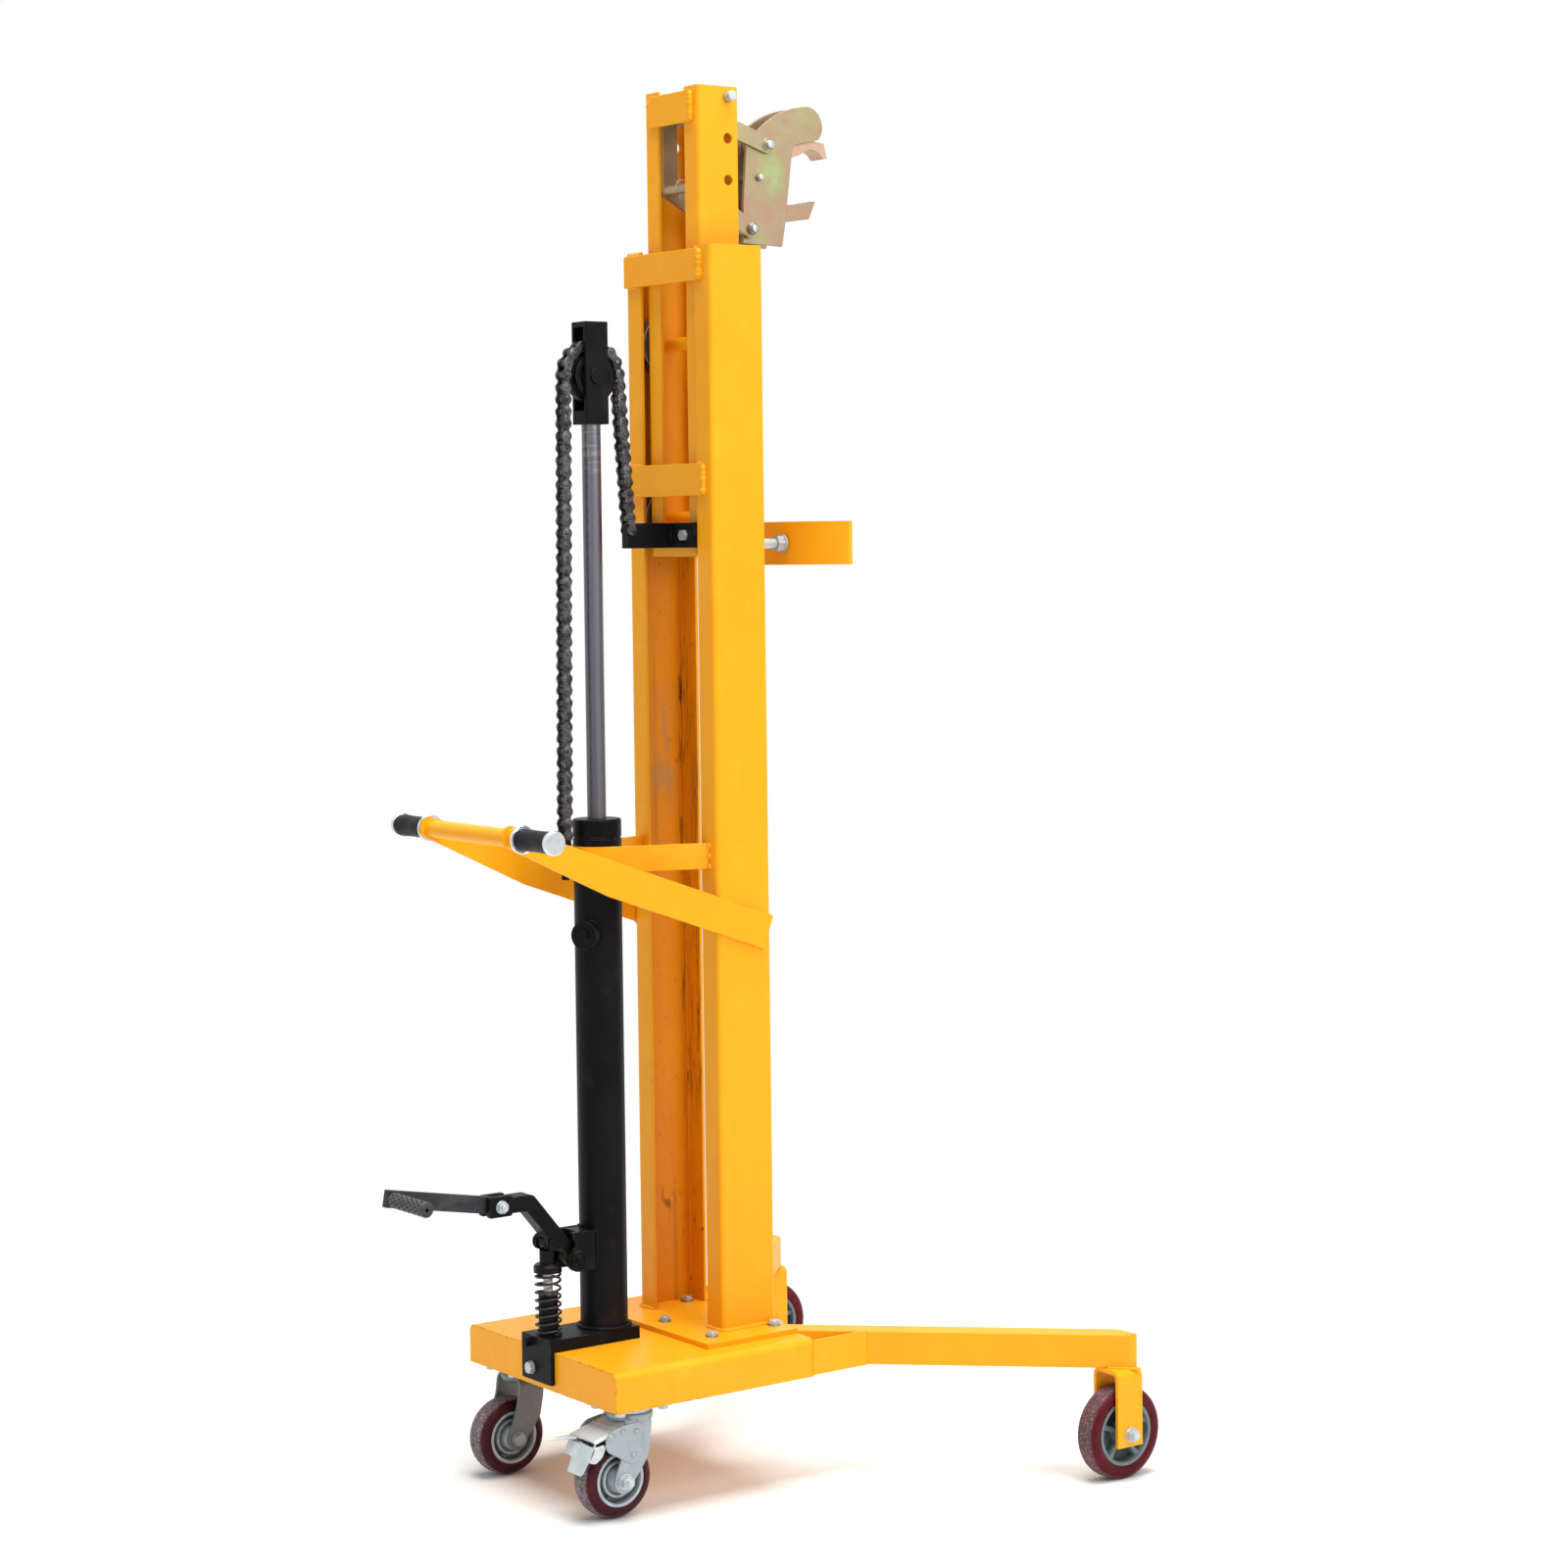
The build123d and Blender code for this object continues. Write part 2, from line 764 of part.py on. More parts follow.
def brake_cheek():
    lead = caster_axle_y + caster_arm_lead
    low_z = rear_wheel_r + caster_arm_half
    front_y = lead + caster_arm_half - 1
    points = [
        (front_y, crown_bottom - caster_crown_t),
        (front_y - 2, low_z + 20),
        (lead, low_z),
        (brake_pivot_y - 4, brake_pivot_z - 20),
        (brake_pivot_y - 9, brake_pivot_z + 2),
        (brake_pivot_y + 4, brake_pivot_z + 12),
    ]
    cheek = prism_x(points, arm_out, arm_out + brake_sheet)
    cheek = fillet(cheek.edges().filter_by(Axis.X), caster_arm_t)
    for y, z in ((lead + 8, crown_bottom - 20), (lead - 4, low_z + 30), (lead + 6, low_z + 18)):
        cheek = cheek + rod_x(rivet_r, arm_out + brake_sheet, arm_out + brake_sheet + rivet_h, y, z)
    pivot_hole = brake_pivot_r + run_gap
    return cheek - rod_x(pivot_hole, arm_out - 1, arm_out + brake_sheet + 1, brake_pivot_y, brake_pivot_z)


def brake_pedal():
    # Upper tread with a horn, lower tread tangent to the tyre, two ears and the pivot that joins them
    ear_out = arm_out - side_gap
    front_y = caster_axle_y + caster_arm_lead - caster_arm_half - 8
    front_z = crown_bottom - caster_crown_t
    reach = rear_wheel_r + brake_gap
    diagonal = math.sqrt(0.5)
    touch_y = caster_axle_y - reach * diagonal
    touch_z = rear_wheel_r + reach * diagonal
    up = brake_tread_up
    down = brake_tread_down
    lower = [
        (touch_y + up, touch_z + up),
        (touch_y - down, touch_z - down),
        (touch_y - down - brake_sheet, touch_z - down + brake_sheet),
        (touch_y + up - brake_sheet, touch_z + up + brake_sheet),
    ]
    tip_y = brake_pivot_y - brake_reach
    horn_y = tip_y + brake_horn
    upper = [
        (front_y, front_z - brake_sheet),
        (front_y, front_z),
        (horn_y, brake_pivot_z + 1),
        (tip_y, brake_pivot_z + 2),
        (tip_y, brake_pivot_z + 2 - brake_sheet),
        (horn_y, brake_pivot_z + 1 - brake_sheet),
    ]
    ear = [
        (front_y, front_z - 1),
        (brake_pivot_y + 10, brake_pivot_z - 6),
        (touch_y + up - 1, touch_z + up - 1),
        (touch_y - 2, touch_z - 2 + brake_sheet),
        (touch_y - 6, touch_z + 14),
        (horn_y + brake_horn, brake_pivot_z + 2),
    ]
    tread = prism_x(upper, -ear_out, ear_out)
    horn_cut = block(-8, ear_out + 1, tip_y - 1, horn_y, 0, crown_bottom)
    lower_tread = prism_x(lower, -ear_out + brake_sheet, ear_out)
    left_ear = prism_x(ear, -ear_out, -ear_out + brake_sheet)
    right_ear = prism_x(ear, ear_out - brake_sheet, ear_out)
    pivot_half = arm_out + brake_sheet
    pivot = rod_x(brake_pivot_r, -pivot_half, pivot_half, brake_pivot_y, brake_pivot_z)
    return tread - horn_cut + lower_tread + left_ear + right_ear + pivot


# Mast: two outer channels on a foot plate, two inner channels that run inside them on rollers
def channel(half_width, depth, flange, wall, bend, z0, z1):
    tip = half_width - flange
    back = -depth / 2
    front = depth / 2
    outer = outline([(tip, back), (half_width, back), (half_width, front), (tip, front)])
    outer = round_corners(outer, [(half_width, back), (half_width, front)], bend)
    web = half_width - wall
    low = back + wall
    high = front - wall
    inner = outline([(tip - wall, low), (web, low), (web, high), (tip - wall, high)])
    inner = round_corners(inner, [(web, low), (web, high)], bend - wall)
    return extrude(Plane.XY.offset(z0) * (outer - inner), z1 - z0)


out_x = mast_half + foot_bolt_out
in_x = mast_half - foot_bolt_in
foot_bolts = [
    (out_x, -foot_bolt_rear),
    (-out_x, -foot_bolt_rear),
    (0.0, -foot_bolt_rear),
    (out_x, foot_bolt_out_y),
    (-out_x, foot_bolt_out_y),
    (in_x, foot_bolt_in_y),
    (-in_x, foot_bolt_in_y),
]


def foot_plate():
    plate = block(-foot_width / 2, foot_width / 2, -foot_rear, tray_front, tray_top, foot_top)
    for x, y in foot_bolts:
        plate = plate - rod_z(bolt_r + run_gap, tray_top - 1, foot_top + 1, x, y)
    return plate


def foot_bolt(x, y):
    washer = rod_z(washer_r, foot_top, foot_top + washer_t, x, y)
    head = Pos(x, y, foot_top + washer_t) * hexagon(bolt_af, bolt_head_h)
    shank = rod_z(bolt_r, tray_top, foot_top, x, y)
    return washer + head + shank


def outer_bar(centre_z, offset):
    half = mast_half - outer_bar_inset
    bar = block(
        offset - half,
        offset + half,
        mast_back - outer_bar_t,
        mast_back,
        centre_z - outer_bar_h / 2,
        centre_z + outer_bar_h / 2,
    )
    return fillet(bar.edges().filter_by(Axis.X), bar_edge_round)


def cylinder_strap():
    # Flat bar round the rear of the cylinder, its legs spread to the rear flanges of the outer channels
    ring = taut_band(strap_inner_r + strap_t, strap_foot_x) - taut_band(strap_inner_r, strap_foot_x - strap_t)
    bottom = strap_z - strap_h / 2
    bar = extrude(Plane.XY.offset(bottom) * ring, strap_h)
    # Room for the chain anchor's nuts, should they come near the bar
    nut_room = anchor_nut_af / math.sqrt(3) + side_gap
    return bar - rod_z(nut_room, bottom - 1, bottom + strap_h + 1, 0, anchor_y)


def taut_band(radius, foot):
    # Outline of a taut band from two feet on the mast's back round a circle on the cylinder's axis
    run_y = mast_back - cylinder_y
    reach = math.hypot(foot, run_y)
    toward = math.atan2(run_y, foot)
    angle = toward - math.acos(radius / reach)
    touch_x = radius * math.cos(angle)
    touch_y = cylinder_y + radius * math.sin(angle)
    side = outline([(foot, mast_back), (-foot, mast_back), (-touch_x, touch_y), (touch_x, touch_y)])
    return side + Pos(0, cylinder_y) * Circle(radius)


def inner_channel():
    bar = channel(inner_half, inner_depth, inner_flange, inner_wall, inner_bend, inner_bottom, inner_top)
    for index in range(hole_count):
        z = hole_top - index * hole_pitch
        bar = bar - rod_x(hole_r, inner_half - inner_flange, inner_half + 1, hole_y, z)
    for z in (roller_upper_z, roller_lower_z):
        bar = bar - rod_x(shaft_r + run_gap, inner_half - inner_flange, inner_half + 1, 0, z)
    return bar


def inner_bar(z0):
    half = inner_half - inner_bar_inset
    bar = block(-half, half, inner_back - inner_bar_t, inner_back, z0, z0 + inner_bar_h)
    return fillet(bar.edges().filter_by(Axis.X), bar_edge_round)


def roller_shaft(z):
    middle = rod_x(shaft_r, -roller_x0 + side_gap, roller_x0 - side_gap, 0, z)
    journal = rod_x(journal_r, -roller_x1 - side_gap, roller_x1 + side_gap, 0, z)
    collar = rod_x(shaft_r + shaft_collar, inner_half, roller_x0 - side_gap, 0, z)
    head = rod_x(shaft_head_r, roller_x1 + side_gap, roller_x1 + side_gap + shaft_head_t, 0, z)
    return middle + journal + collar + mirrored(collar) + head + mirrored(head)


def guide_roller(z):
    roller = rod_x(roller_r, roller_x0, roller_x1, 0, z)
    roller = fillet(roller.edges().filter_by(GeomType.CIRCLE), roller_edge)
    roller = roller - rod_x(journal_r + run_gap, roller_x0 - 1, roller_x1 + 1, 0, z)
    groove = rod_x(roller_r - roller_land, roller_x1 - roller_groove, roller_x1 + 1, 0, z)
    return roller - (groove - rod_x(journal_r + roller_land, roller_x0, roller_x1 + 2, 0, z))


# Lift cylinder
def on_barrel(shape):
    # Moves a shape drawn along +Z from the barrel's axis to the side where the fill plug sits
    return Pos(0, cylinder_y, plug_z) * Rot(0, 0, plug_angle) * Rot(0, 90, 0) * shape


def cylinder_barrel():
    tube = rod_z(cylinder_r, pump_base_top, cylinder_top, 0, cylinder_y)
    tube = tube - rod_z(cylinder_bore, pump_base_top + cylinder_floor, cylinder_top + 1, 0, cylinder_y)
    return tube - on_barrel(rod_z(plug_r + run_gap, 0, cylinder_r + 1, 0, 0))


def cylinder_gland():
    gland = rod_z(gland_r, cylinder_top, gland_top, 0, cylinder_y)
    gland = fillet(gland.edges().filter_by(GeomType.CIRCLE).sort_by(Axis.Z)[-1:], gland_round)
    groove_z = cylinder_top + gland_height / 3
    groove = rod_z(gland_r + 1, groove_z, groove_z + gland_groove_w, 0, cylinder_y)
    groove = groove - rod_z(gland_r - gland_groove, cylinder_top, gland_top, 0, cylinder_y)
    return gland - groove - rod_z(rod_r + run_gap, cylinder_top - 1, gland_top + 1, 0, cylinder_y)


def fill_plug():
    # Boss on the barrel with a plug screwed through it
    face = cylinder_r + plug_boss_reach
    boss = rod_z(plug_boss_r, 0, face, 0, 0) - Rot(0, 90, 0) * Cylinder(cylinder_r, 4 * plug_boss_r)
    boss = boss & rod_z(plug_boss_r + 1, 0, face, 0, 0)
    stem = rod_z(plug_r, cylinder_r - cylinder_wall + plug_seat, cylinder_r + plug_reach, 0, 0)
    stem = fillet(stem.edges().filter_by(GeomType.CIRCLE).sort_by(Axis.Z)[-1:], plug_seat / 2)
    return on_barrel(boss + stem)


piston_bottom = cylinder_top - piston_skirt


def piston_rod():
    rod = rod_z(rod_r, piston_bottom, block_bottom, 0, cylinder_y)
    piston = rod_z(cylinder_bore - run_gap, piston_bottom, piston_bottom + piston_height, 0, cylinder_y)
    return rod + piston


def sheave_block():
    half = block_size / 2
    body = block(-half, half, cylinder_y - half, cylinder_y + half, block_bottom, block_top)
    body = fillet(body.edges().filter_by(Axis.Z), block_round)
    gap = half - block_cheek
    window = block(
        -gap,
        gap,
        cylinder_y - half - 1,
        cylinder_y + half + 1,
        block_bottom + block_foot,
        block_top - block_roof,
    )
    return body - window - rod_x(sheave_axle_r + run_gap, -half - 1, half + 1, cylinder_y, sheave_z)


def sheave_axle():
    half = block_size / 2
    pin = rod_x(sheave_axle_r, -half, half, cylinder_y, sheave_z)
    head = rod_x(sheave_head_r, half, half + sheave_head_t, cylinder_y, sheave_z)
    head = fillet(head.edges().filter_by(GeomType.CIRCLE).sort_by(Axis.X)[-1:], 1.0)
    return pin + head + mirrored(head)


def sheave():
    tread_r = sheave_r - chain_roller_r - seat_gap
    tread_w = chain_roller_w / 2 - 1
    hub_w = block_size / 2 - block_cheek - side_gap
    flange_r = tread_r - chain_plate_h / 2
    tread = rod_x(tread_r, -tread_w, tread_w, cylinder_y, sheave_z)
    flange = rod_x(flange_r, -hub_w + 1, hub_w - 1, cylinder_y, sheave_z)
    recess = rod_x(flange_r - sheave_rim, hub_w - sheave_recess, hub_w + 1, cylinder_y, sheave_z)
    hub = rod_x(sheave_hub_r, -hub_w, hub_w, cylinder_y, sheave_z)
    wheel = tread + flange - recess - mirrored(recess) + hub
    return wheel - rod_x(sheave_axle_r + run_gap, -hub_w - 1, hub_w + 1, cylinder_y, sheave_z)


# Roller chain: links made flat along +Y from their first joint, then placed between two joints
inner_plate_x = chain_roller_w / 2
outer_plate_x = inner_plate_x + chain_plate_t + chain_play


def link_plate(x0):
    face = SlotCenterToCenter(chain_pitch, chain_plate_h)
    return plate_x(Pos(chain_pitch / 2, 0) * face, x0, x0 + chain_plate_t)


def inner_link():
    link = link_plate(inner_plate_x) + link_plate(-inner_plate_x - chain_plate_t)
    for y in (0.0, chain_pitch):
        link = link + rod_x(chain_roller_r, -inner_plate_x, inner_plate_x, y, 0)
    reach = inner_plate_x + chain_plate_t + 1
    for y in (0.0, chain_pitch):
        link = link - rod_x(chain_pin_r + run_gap, -reach, reach, y, 0)
    return link


def outer_link():
    link = link_plate(outer_plate_x) + link_plate(-outer_plate_x - chain_plate_t)
    reach = outer_plate_x + chain_plate_t + chain_pin_head
    for y in (0.0, chain_pitch):
        link = link + rod_x(chain_pin_r, -reach, reach, y, 0)
    return link


def chain_run(joints, first):
    # Places one link between each two joints; first counts links from the chain's rear end
    shapes = (outer_link(), inner_link())
    links = []
    for index in range(len(joints) - 1):
        y0, z0 = joints[index]
        y1, z1 = joints[index + 1]
        turn = math.degrees(math.atan2(z1 - z0, y1 - y0))
        links.append(Pos(0, y0, z0) * Rot(turn, 0, 0) * shapes[(first + index) % 2])
    return group(*links)


def straight_joints(start, end, count):
    joints = []
    for index in range(count + 1):
        share = index / count
        joints.append((start[0] + (end[0] - start[0]) * share, start[1] + (end[1] - start[1]) * share))
    return joints


def wrap_joints():
    joints = []
    for index in range(wrap_pitches + 1):
        angle = math.pi - rear_tilt - wrap_angle * index / wrap_pitches
        joints.append((cylinder_y + sheave_r * math.cos(angle), sheave_z + sheave_r * math.sin(angle)))
    return joints


def chain_anchor():
    # Clevis rod through a lug shaped to the strap's curve, held by a nut on each side of the lug
    lug_bottom = strap_z - lug_t / 2
    lug_top = strap_z + lug_t / 2
    lug = block(-lug_width / 2, lug_width / 2, anchor_y - lug_margin, cylinder_y, lug_bottom, lug_top)
    lug = lug - rod_z(strap_inner_r + strap_t + run_gap, lug_bottom - 1, lug_top + 1, 0, cylinder_y)
    hole = rod_z(anchor_r + run_gap, lug_bottom - lug_width, lug_top + lug_width, 0, anchor_y)
    rod = rod_z(anchor_r, anchor_z - anchor_drop, anchor_z - tongue_neck + 1, 0, anchor_y)
    tongue_x = inner_plate_x - chain_play
    tongue_y = chain_roller_r + tongue_edge
    low = anchor_z - tongue_neck
    tongue = block(-tongue_x, tongue_x, anchor_y - tongue_y, anchor_y + tongue_y, low, anchor_z + tongue_y)
    rod = rod + tongue - rod_x(chain_pin_r + run_gap, -lug_width, lug_width, anchor_y, anchor_z)
    nuts = []
    for z in (lug_top, lug_bottom - anchor_nut_h):
        nuts.append(Pos(0, anchor_y, z) * hexagon(anchor_nut_af, anchor_nut_h) - hole)
    return group(lug - hole, rod, *nuts)


bracket_z0 = front_pin_z - bracket_below
bracket_z1 = bracket_z0 + bracket_h
bracket_back = inner_back - inner_bar_t - bracket_plate_t
bracket_bolt_x = inner_slot / 2 + bolt_af / 2
bracket_bolt_z = (bracket_z0 + bracket_z1) / 2


def chain_bracket():
    # Cross plate bolted between the outer channels' lips, with an arm welded on it for the chain's front end
    cross_half = mast_half - mast_flange - bracket_side_gap
    cross = block(-cross_half, cross_half, bracket_back, inner_back - inner_bar_t, bracket_z0, bracket_z1)
    arm_half = inner_plate_x + chain_plate_t / 2
    arm = block(-arm_half, arm_half, front_pin_y - bracket_overhang, bracket_back, bracket_z0, bracket_z1)
    slot_x = outer_plate_x + 2 * chain_plate_t
    slot_y = chain_plate_h
    slot_z = front_pin_z + chain_plate_h / 2 + 1
    slot = block(-slot_x, slot_x, front_pin_y - slot_y, front_pin_y + slot_y, slot_z, bracket_z1 + 1)
    bracket = cross + arm - slot
    bracket = bracket - rod_x(chain_pin_r + run_gap, -arm_half - 1, arm_half + 1, front_pin_y, front_pin_z)
    for x in (-bracket_bolt_x, bracket_bolt_x):
        bracket = bracket - rod_y(bolt_r + run_gap, bracket_back - 1, inner_back, x, bracket_bolt_z)
    return bracket


def bracket_bolts():
    bolts = []
    for x in (-bracket_bolt_x, bracket_bolt_x):
        head = hex_y(bolt_af, bracket_back - bolt_head_h, bracket_back, x, bracket_bolt_z)
        shank = rod_y(bolt_r, bracket_back, inner_back - inner_bar_t, x, bracket_bolt_z)
        bolts.append(head + shank)
    return bolts


# Foot pump
def pump_base():
    half = pump_base_w / 2
    plate = block(-half, half, tab_back, cylinder_y + pump_base_front, tray_top, pump_base_top)
    tab = block(-half, half, tab_back, -tray_rear, tray_top - pump_tab_drop, pump_base_top)
    base = plate + tab
    base = base - rod_y(valve_r + run_gap, tab_back - 1, tab_back + valve_deep + 1, valve_x, valve_z)
    return base - rod_y(bolt_r + run_gap, tab_back - 1, -tray_rear + 1, tab_bolt_x, tab_bolt_z)


def tab_bolt():
    seat = tab_back - washer_t
    washer = rod_y(washer_r, seat, tab_back, tab_bolt_x, tab_bolt_z)
    head = hex_y(tab_bolt_af, seat - tab_bolt_h, seat, tab_bolt_x, tab_bolt_z)
    shank = rod_y(bolt_r, tab_back, -tray_rear, tab_bolt_x, tab_bolt_z)
    return washer + head + shank


def release_valve():
    end = tab_back - valve_reach
    stem = rod_y(valve_r, end, tab_back + valve_deep, valve_x, valve_z)
    stem = fillet(stem.edges().filter_by(GeomType.CIRCLE).sort_by(Axis.Y)[:1], valve_slot_deep / 2)
    half = valve_slot / 2
    low = valve_z - valve_r - 1
    high = valve_z + valve_r + 1
    return stem - block(valve_x - half, valve_x + half, end - 1, end + valve_slot_deep, low, high)


def pump_barrel():
    top = pump_base_top + barrel_h
    barrel = rod_z(barrel_r, pump_base_top, top, 0, pump_y)
    return barrel - rod_z(plunger_r + run_gap, pump_base_top + barrel_floor, top + 1, 0, pump_y)


def pump_plunger():
    stem_low = pump_base_top + barrel_h - plunger_dip
    stem = rod_z(plunger_r, stem_low, spring_top, 0, pump_y)
    cup = rod_z(cup_r, spring_top, cup_top, 0, pump_y)
    cup = chamfer(cup.edges().filter_by(GeomType.CIRCLE).sort_by(Axis.Z)[-1:], cup_edge)
    head = rod_z(plunger_head_r, cup_top, head_top, 0, pump_y)
    return stem + cup + head


def helix_frame(angle, rise):
    # Point and direction of the spring's centre line at an angle from its first end
    point = Vector(
        spring_r * math.cos(angle), pump_y + spring_r * math.sin(angle), spring_low + rise * angle
    )
    direction = Vector(-spring_r * math.sin(angle), spring_r * math.cos(angle), rise)
    return point, direction.normalized()


def biarc(start, start_way, end, end_way):
    # Two arcs that leave start and reach end along the given ways and share their way at the joint
    chord = end - start
    both = start_way + end_way
    spread = 2 * (1 - start_way.dot(end_way))
    reach = (-chord.dot(both) + math.sqrt(chord.dot(both) ** 2 + spread * chord.dot(chord))) / spread
    middle = (start + end + (start_way - end_way) * reach) * 0.5
    middle_way = ((end - end_way * reach) - (start + start_way * reach)).normalized()
    first = Edge.make_tangent_arc(start, start_way, middle)
    second = Edge.make_tangent_arc(middle, middle_way, end)
    return [first, second]


spring_low = pump_base_top + 2 * spring_wire


def pump_spring():
    # The wire stands square on the base, climbs in quarter turns, and stands square under the cup
    quarter = math.pi / 2
    quarters = 4 * spring_turns
    last = quarters - 1
    rise = (spring_length - 4 * spring_wire) / (quarter * quarters)
    up = Vector(0, 0, 1)
    foot, _ = helix_frame(0.0, rise)
    foot = Vector(foot.X, foot.Y, pump_base_top)
    first = foot + up * spring_wire
    edges = [Edge.make_line(foot, first)]
    point, way = first, up
    for index in range(1, last + 1):
        target, target_way = helix_frame(index * quarter, rise)
        edges.extend(biarc(point, way, target, target_way))
        point, way = target, target_way
    head, _ = helix_frame(quarters * quarter, rise)
    head = Vector(head.X, head.Y, spring_top)
    final = head - up * spring_wire
    edges.extend(biarc(point, way, final, up))
    edges.append(Edge.make_line(final, head))
    path = Wire(edges)
    section = Plane(foot, z_dir=up) * Circle(spring_wire / 2)
    print("spring: least gap between turns", round(least_gap(edges), 2), "mm")
    return sweep(section, path=path)


def least_gap(edges):
    # Least distance between points of the wire that lie more than three wire diameters apart along it
    points = []
    travel = []
    length = 0.0
    for edge in edges:
        steps = 6
        for step in range(steps):
            points.append(edge @ (step / steps))
            travel.append(length + edge.length * step / steps)
        length += edge.length
    least = spring_length
    for index, point in enumerate(points):
        for other in range(index + 1, len(points)):
            if travel[other] - travel[index] > 3 * spring_wire:
                least = min(least, (points[other] - point).length)
    return least - spring_wire


def lever_lug():
    # Two ears welded to the rear of the cylinder, with the pivot pin across them
    ear_in = lug_gap / 2
    ear_out = ear_in + lug_plate_t
    reach = math.sqrt(cylinder_r**2 - ear_in**2)
    low = pivot_z - lug_plate_down
    high = pivot_z + lug_plate_up
    ears = block(ear_in, ear_out, pivot_y - lug_round, cylinder_y - reach + lug_sink, low, high)
    ears = ears - rod_z(cylinder_r, low - 1, high + 1, 0, cylinder_y)
    ears = ears - rod_x(pivot_r + run_gap, ear_in - 1, ear_out + 1, pivot_y, pivot_z)
    pin_half = ear_out + pivot_overhang
    return group(ears, mirrored(ears), rod_x(pivot_r, -pin_half, pin_half, pivot_y, pivot_z))


lever_out = lever_gap / 2 + lever_plate_t


def bar_between(start, end, width):
    # Round-ended bar between two pivots, as a face in (y, z)
    length = math.hypot(end[0] - start[0], end[1] - start[1])
    angle = math.degrees(math.atan2(end[1] - start[1], end[0] - start[0]))
    middle = ((start[0] + end[0]) / 2, (start[1] + end[1]) / 2)
    return Pos(middle[0], middle[1]) * Rot(0, 0, angle) * SlotCenterToCenter(length, width)


def lever_yoke():
    # Cranked arm, solid between its pivot and its bend, forked round the roller and at the clevis
    pivot = (pivot_y, pivot_z)
    bend = (lever_bend_y, lever_bend_z)
    clevis = (clevis_y, clevis_z)
    toe_r = lever_roller_r - lever_toe_inset
    toe = outline([
        pivot,
        (pivot_y - 24.0, pivot_z + 20.0),
        (lever_roller_y, lever_roller_z - toe_r),
        (lever_roller_y - toe_r, lever_roller_z),
        (lever_roller_y - toe_r, lever_roller_z + 22.0),
        (lever_roller_y + 6.0, lever_roller_z + 34.0),
    ])
    face = bar_between(pivot, bend, 2 * lever_half) + bar_between(bend, clevis, 2 * lever_half)
    face = face + toe + Pos(lever_roller_y, lever_roller_z) * Circle(toe_r)
    # Room for the plunger's head, which slides down below this line as the lever turns
    face = face - outline([
        (lever_roller_y, lever_roller_z - toe_r),
        (pivot_y - 24.0, pivot_z + 20.0),
        (pivot_y - 13.0, pivot_z + 6.0),
        (pivot_y - 17.0, pivot_z - 20.0),
        (lever_roller_y, pivot_z - 20.0),
    ])
    yoke = plate_x(face, -lever_out, lever_out)
    roller_room = lever_roller_r + lever_roller_room
    yoke = yoke - rod_x(roller_room, -lever_gap / 2, lever_gap / 2, lever_roller_y, lever_roller_z)
    pedal_room = block(
        -pedal_t / 2 - side_gap,
        pedal_t / 2 + side_gap,
        clevis_y - 2 * lever_half,
        clevis_y + lever_half + lever_roller_room,
        clevis_z - 2 * lever_half,
        clevis_z + 2 * lever_half,
    )
    yoke = yoke - pedal_room
    for y, z, radius in (
        (pivot_y, pivot_z, pivot_r),
        (lever_roller_y, lever_roller_z, roller_pin_r),
        (clevis_y, clevis_z, bolt_r),
    ):
        yoke = yoke - rod_x(radius + run_gap, -lever_out - 1, lever_out + 1, y, z)
    return yoke


def pump_lever():
    pin = rod_x(roller_pin_r, -lever_out, lever_out, lever_roller_y, lever_roller_z)
    half = lever_gap / 2 - side_gap
    roller = rod_x(lever_roller_r, -half, half, lever_roller_y, lever_roller_z)
    roller = roller - rod_x(roller_pin_r + run_gap, -half - 1, half + 1, lever_roller_y, lever_roller_z)
    head = hex_x(bolt_af, lever_out, lever_out + bolt_head_h, clevis_y, clevis_z)
    shank = rod_x(bolt_r, -lever_out - clevis_tail, lever_out, clevis_y, clevis_z)
    hole = rod_x(bolt_r + run_gap, -lever_out - clevis_tail, 0, clevis_y, clevis_z)
    nut = hex_x(bolt_af, -lever_out - clevis_nut_h, -lever_out, clevis_y, clevis_z) - hole
    return group(lever_yoke(), pin, roller, head + shank, nut)


def pedal_bar():
    length = math.hypot(pedal_end_z - clevis_z, clevis_y - pedal_end_y)
    bar = block(-pedal_t / 2, pedal_t / 2, -length, lever_half, -pedal_h / 2, pedal_h / 2)
    bar = fillet(bar.edges().filter_by(Axis.Y), pedal_edge)
    bar = Pos(0, clevis_y, clevis_z) * Rot(-math.degrees(pedal_slope), 0, 0) * bar
    return bar - rod_x(bolt_r + run_gap, -pedal_t, pedal_t, clevis_y, clevis_z)


def pedal_grip():
    y = pedal_end_y + grip_pedal_r
    z = pedal_end_z - grip_pedal_drop
    end = pedal_t / 2 + grip_pedal_l
    grip = rod_x(grip_pedal_r, pedal_t / 2, end, y, z)
    grip = fillet(grip.edges().filter_by(GeomType.CIRCLE).sort_by(Axis.X)[-1:], grip_pedal_hole)
    return grip - rod_x(grip_pedal_hole, end - grip_pedal_deep, end + 1, y, z)


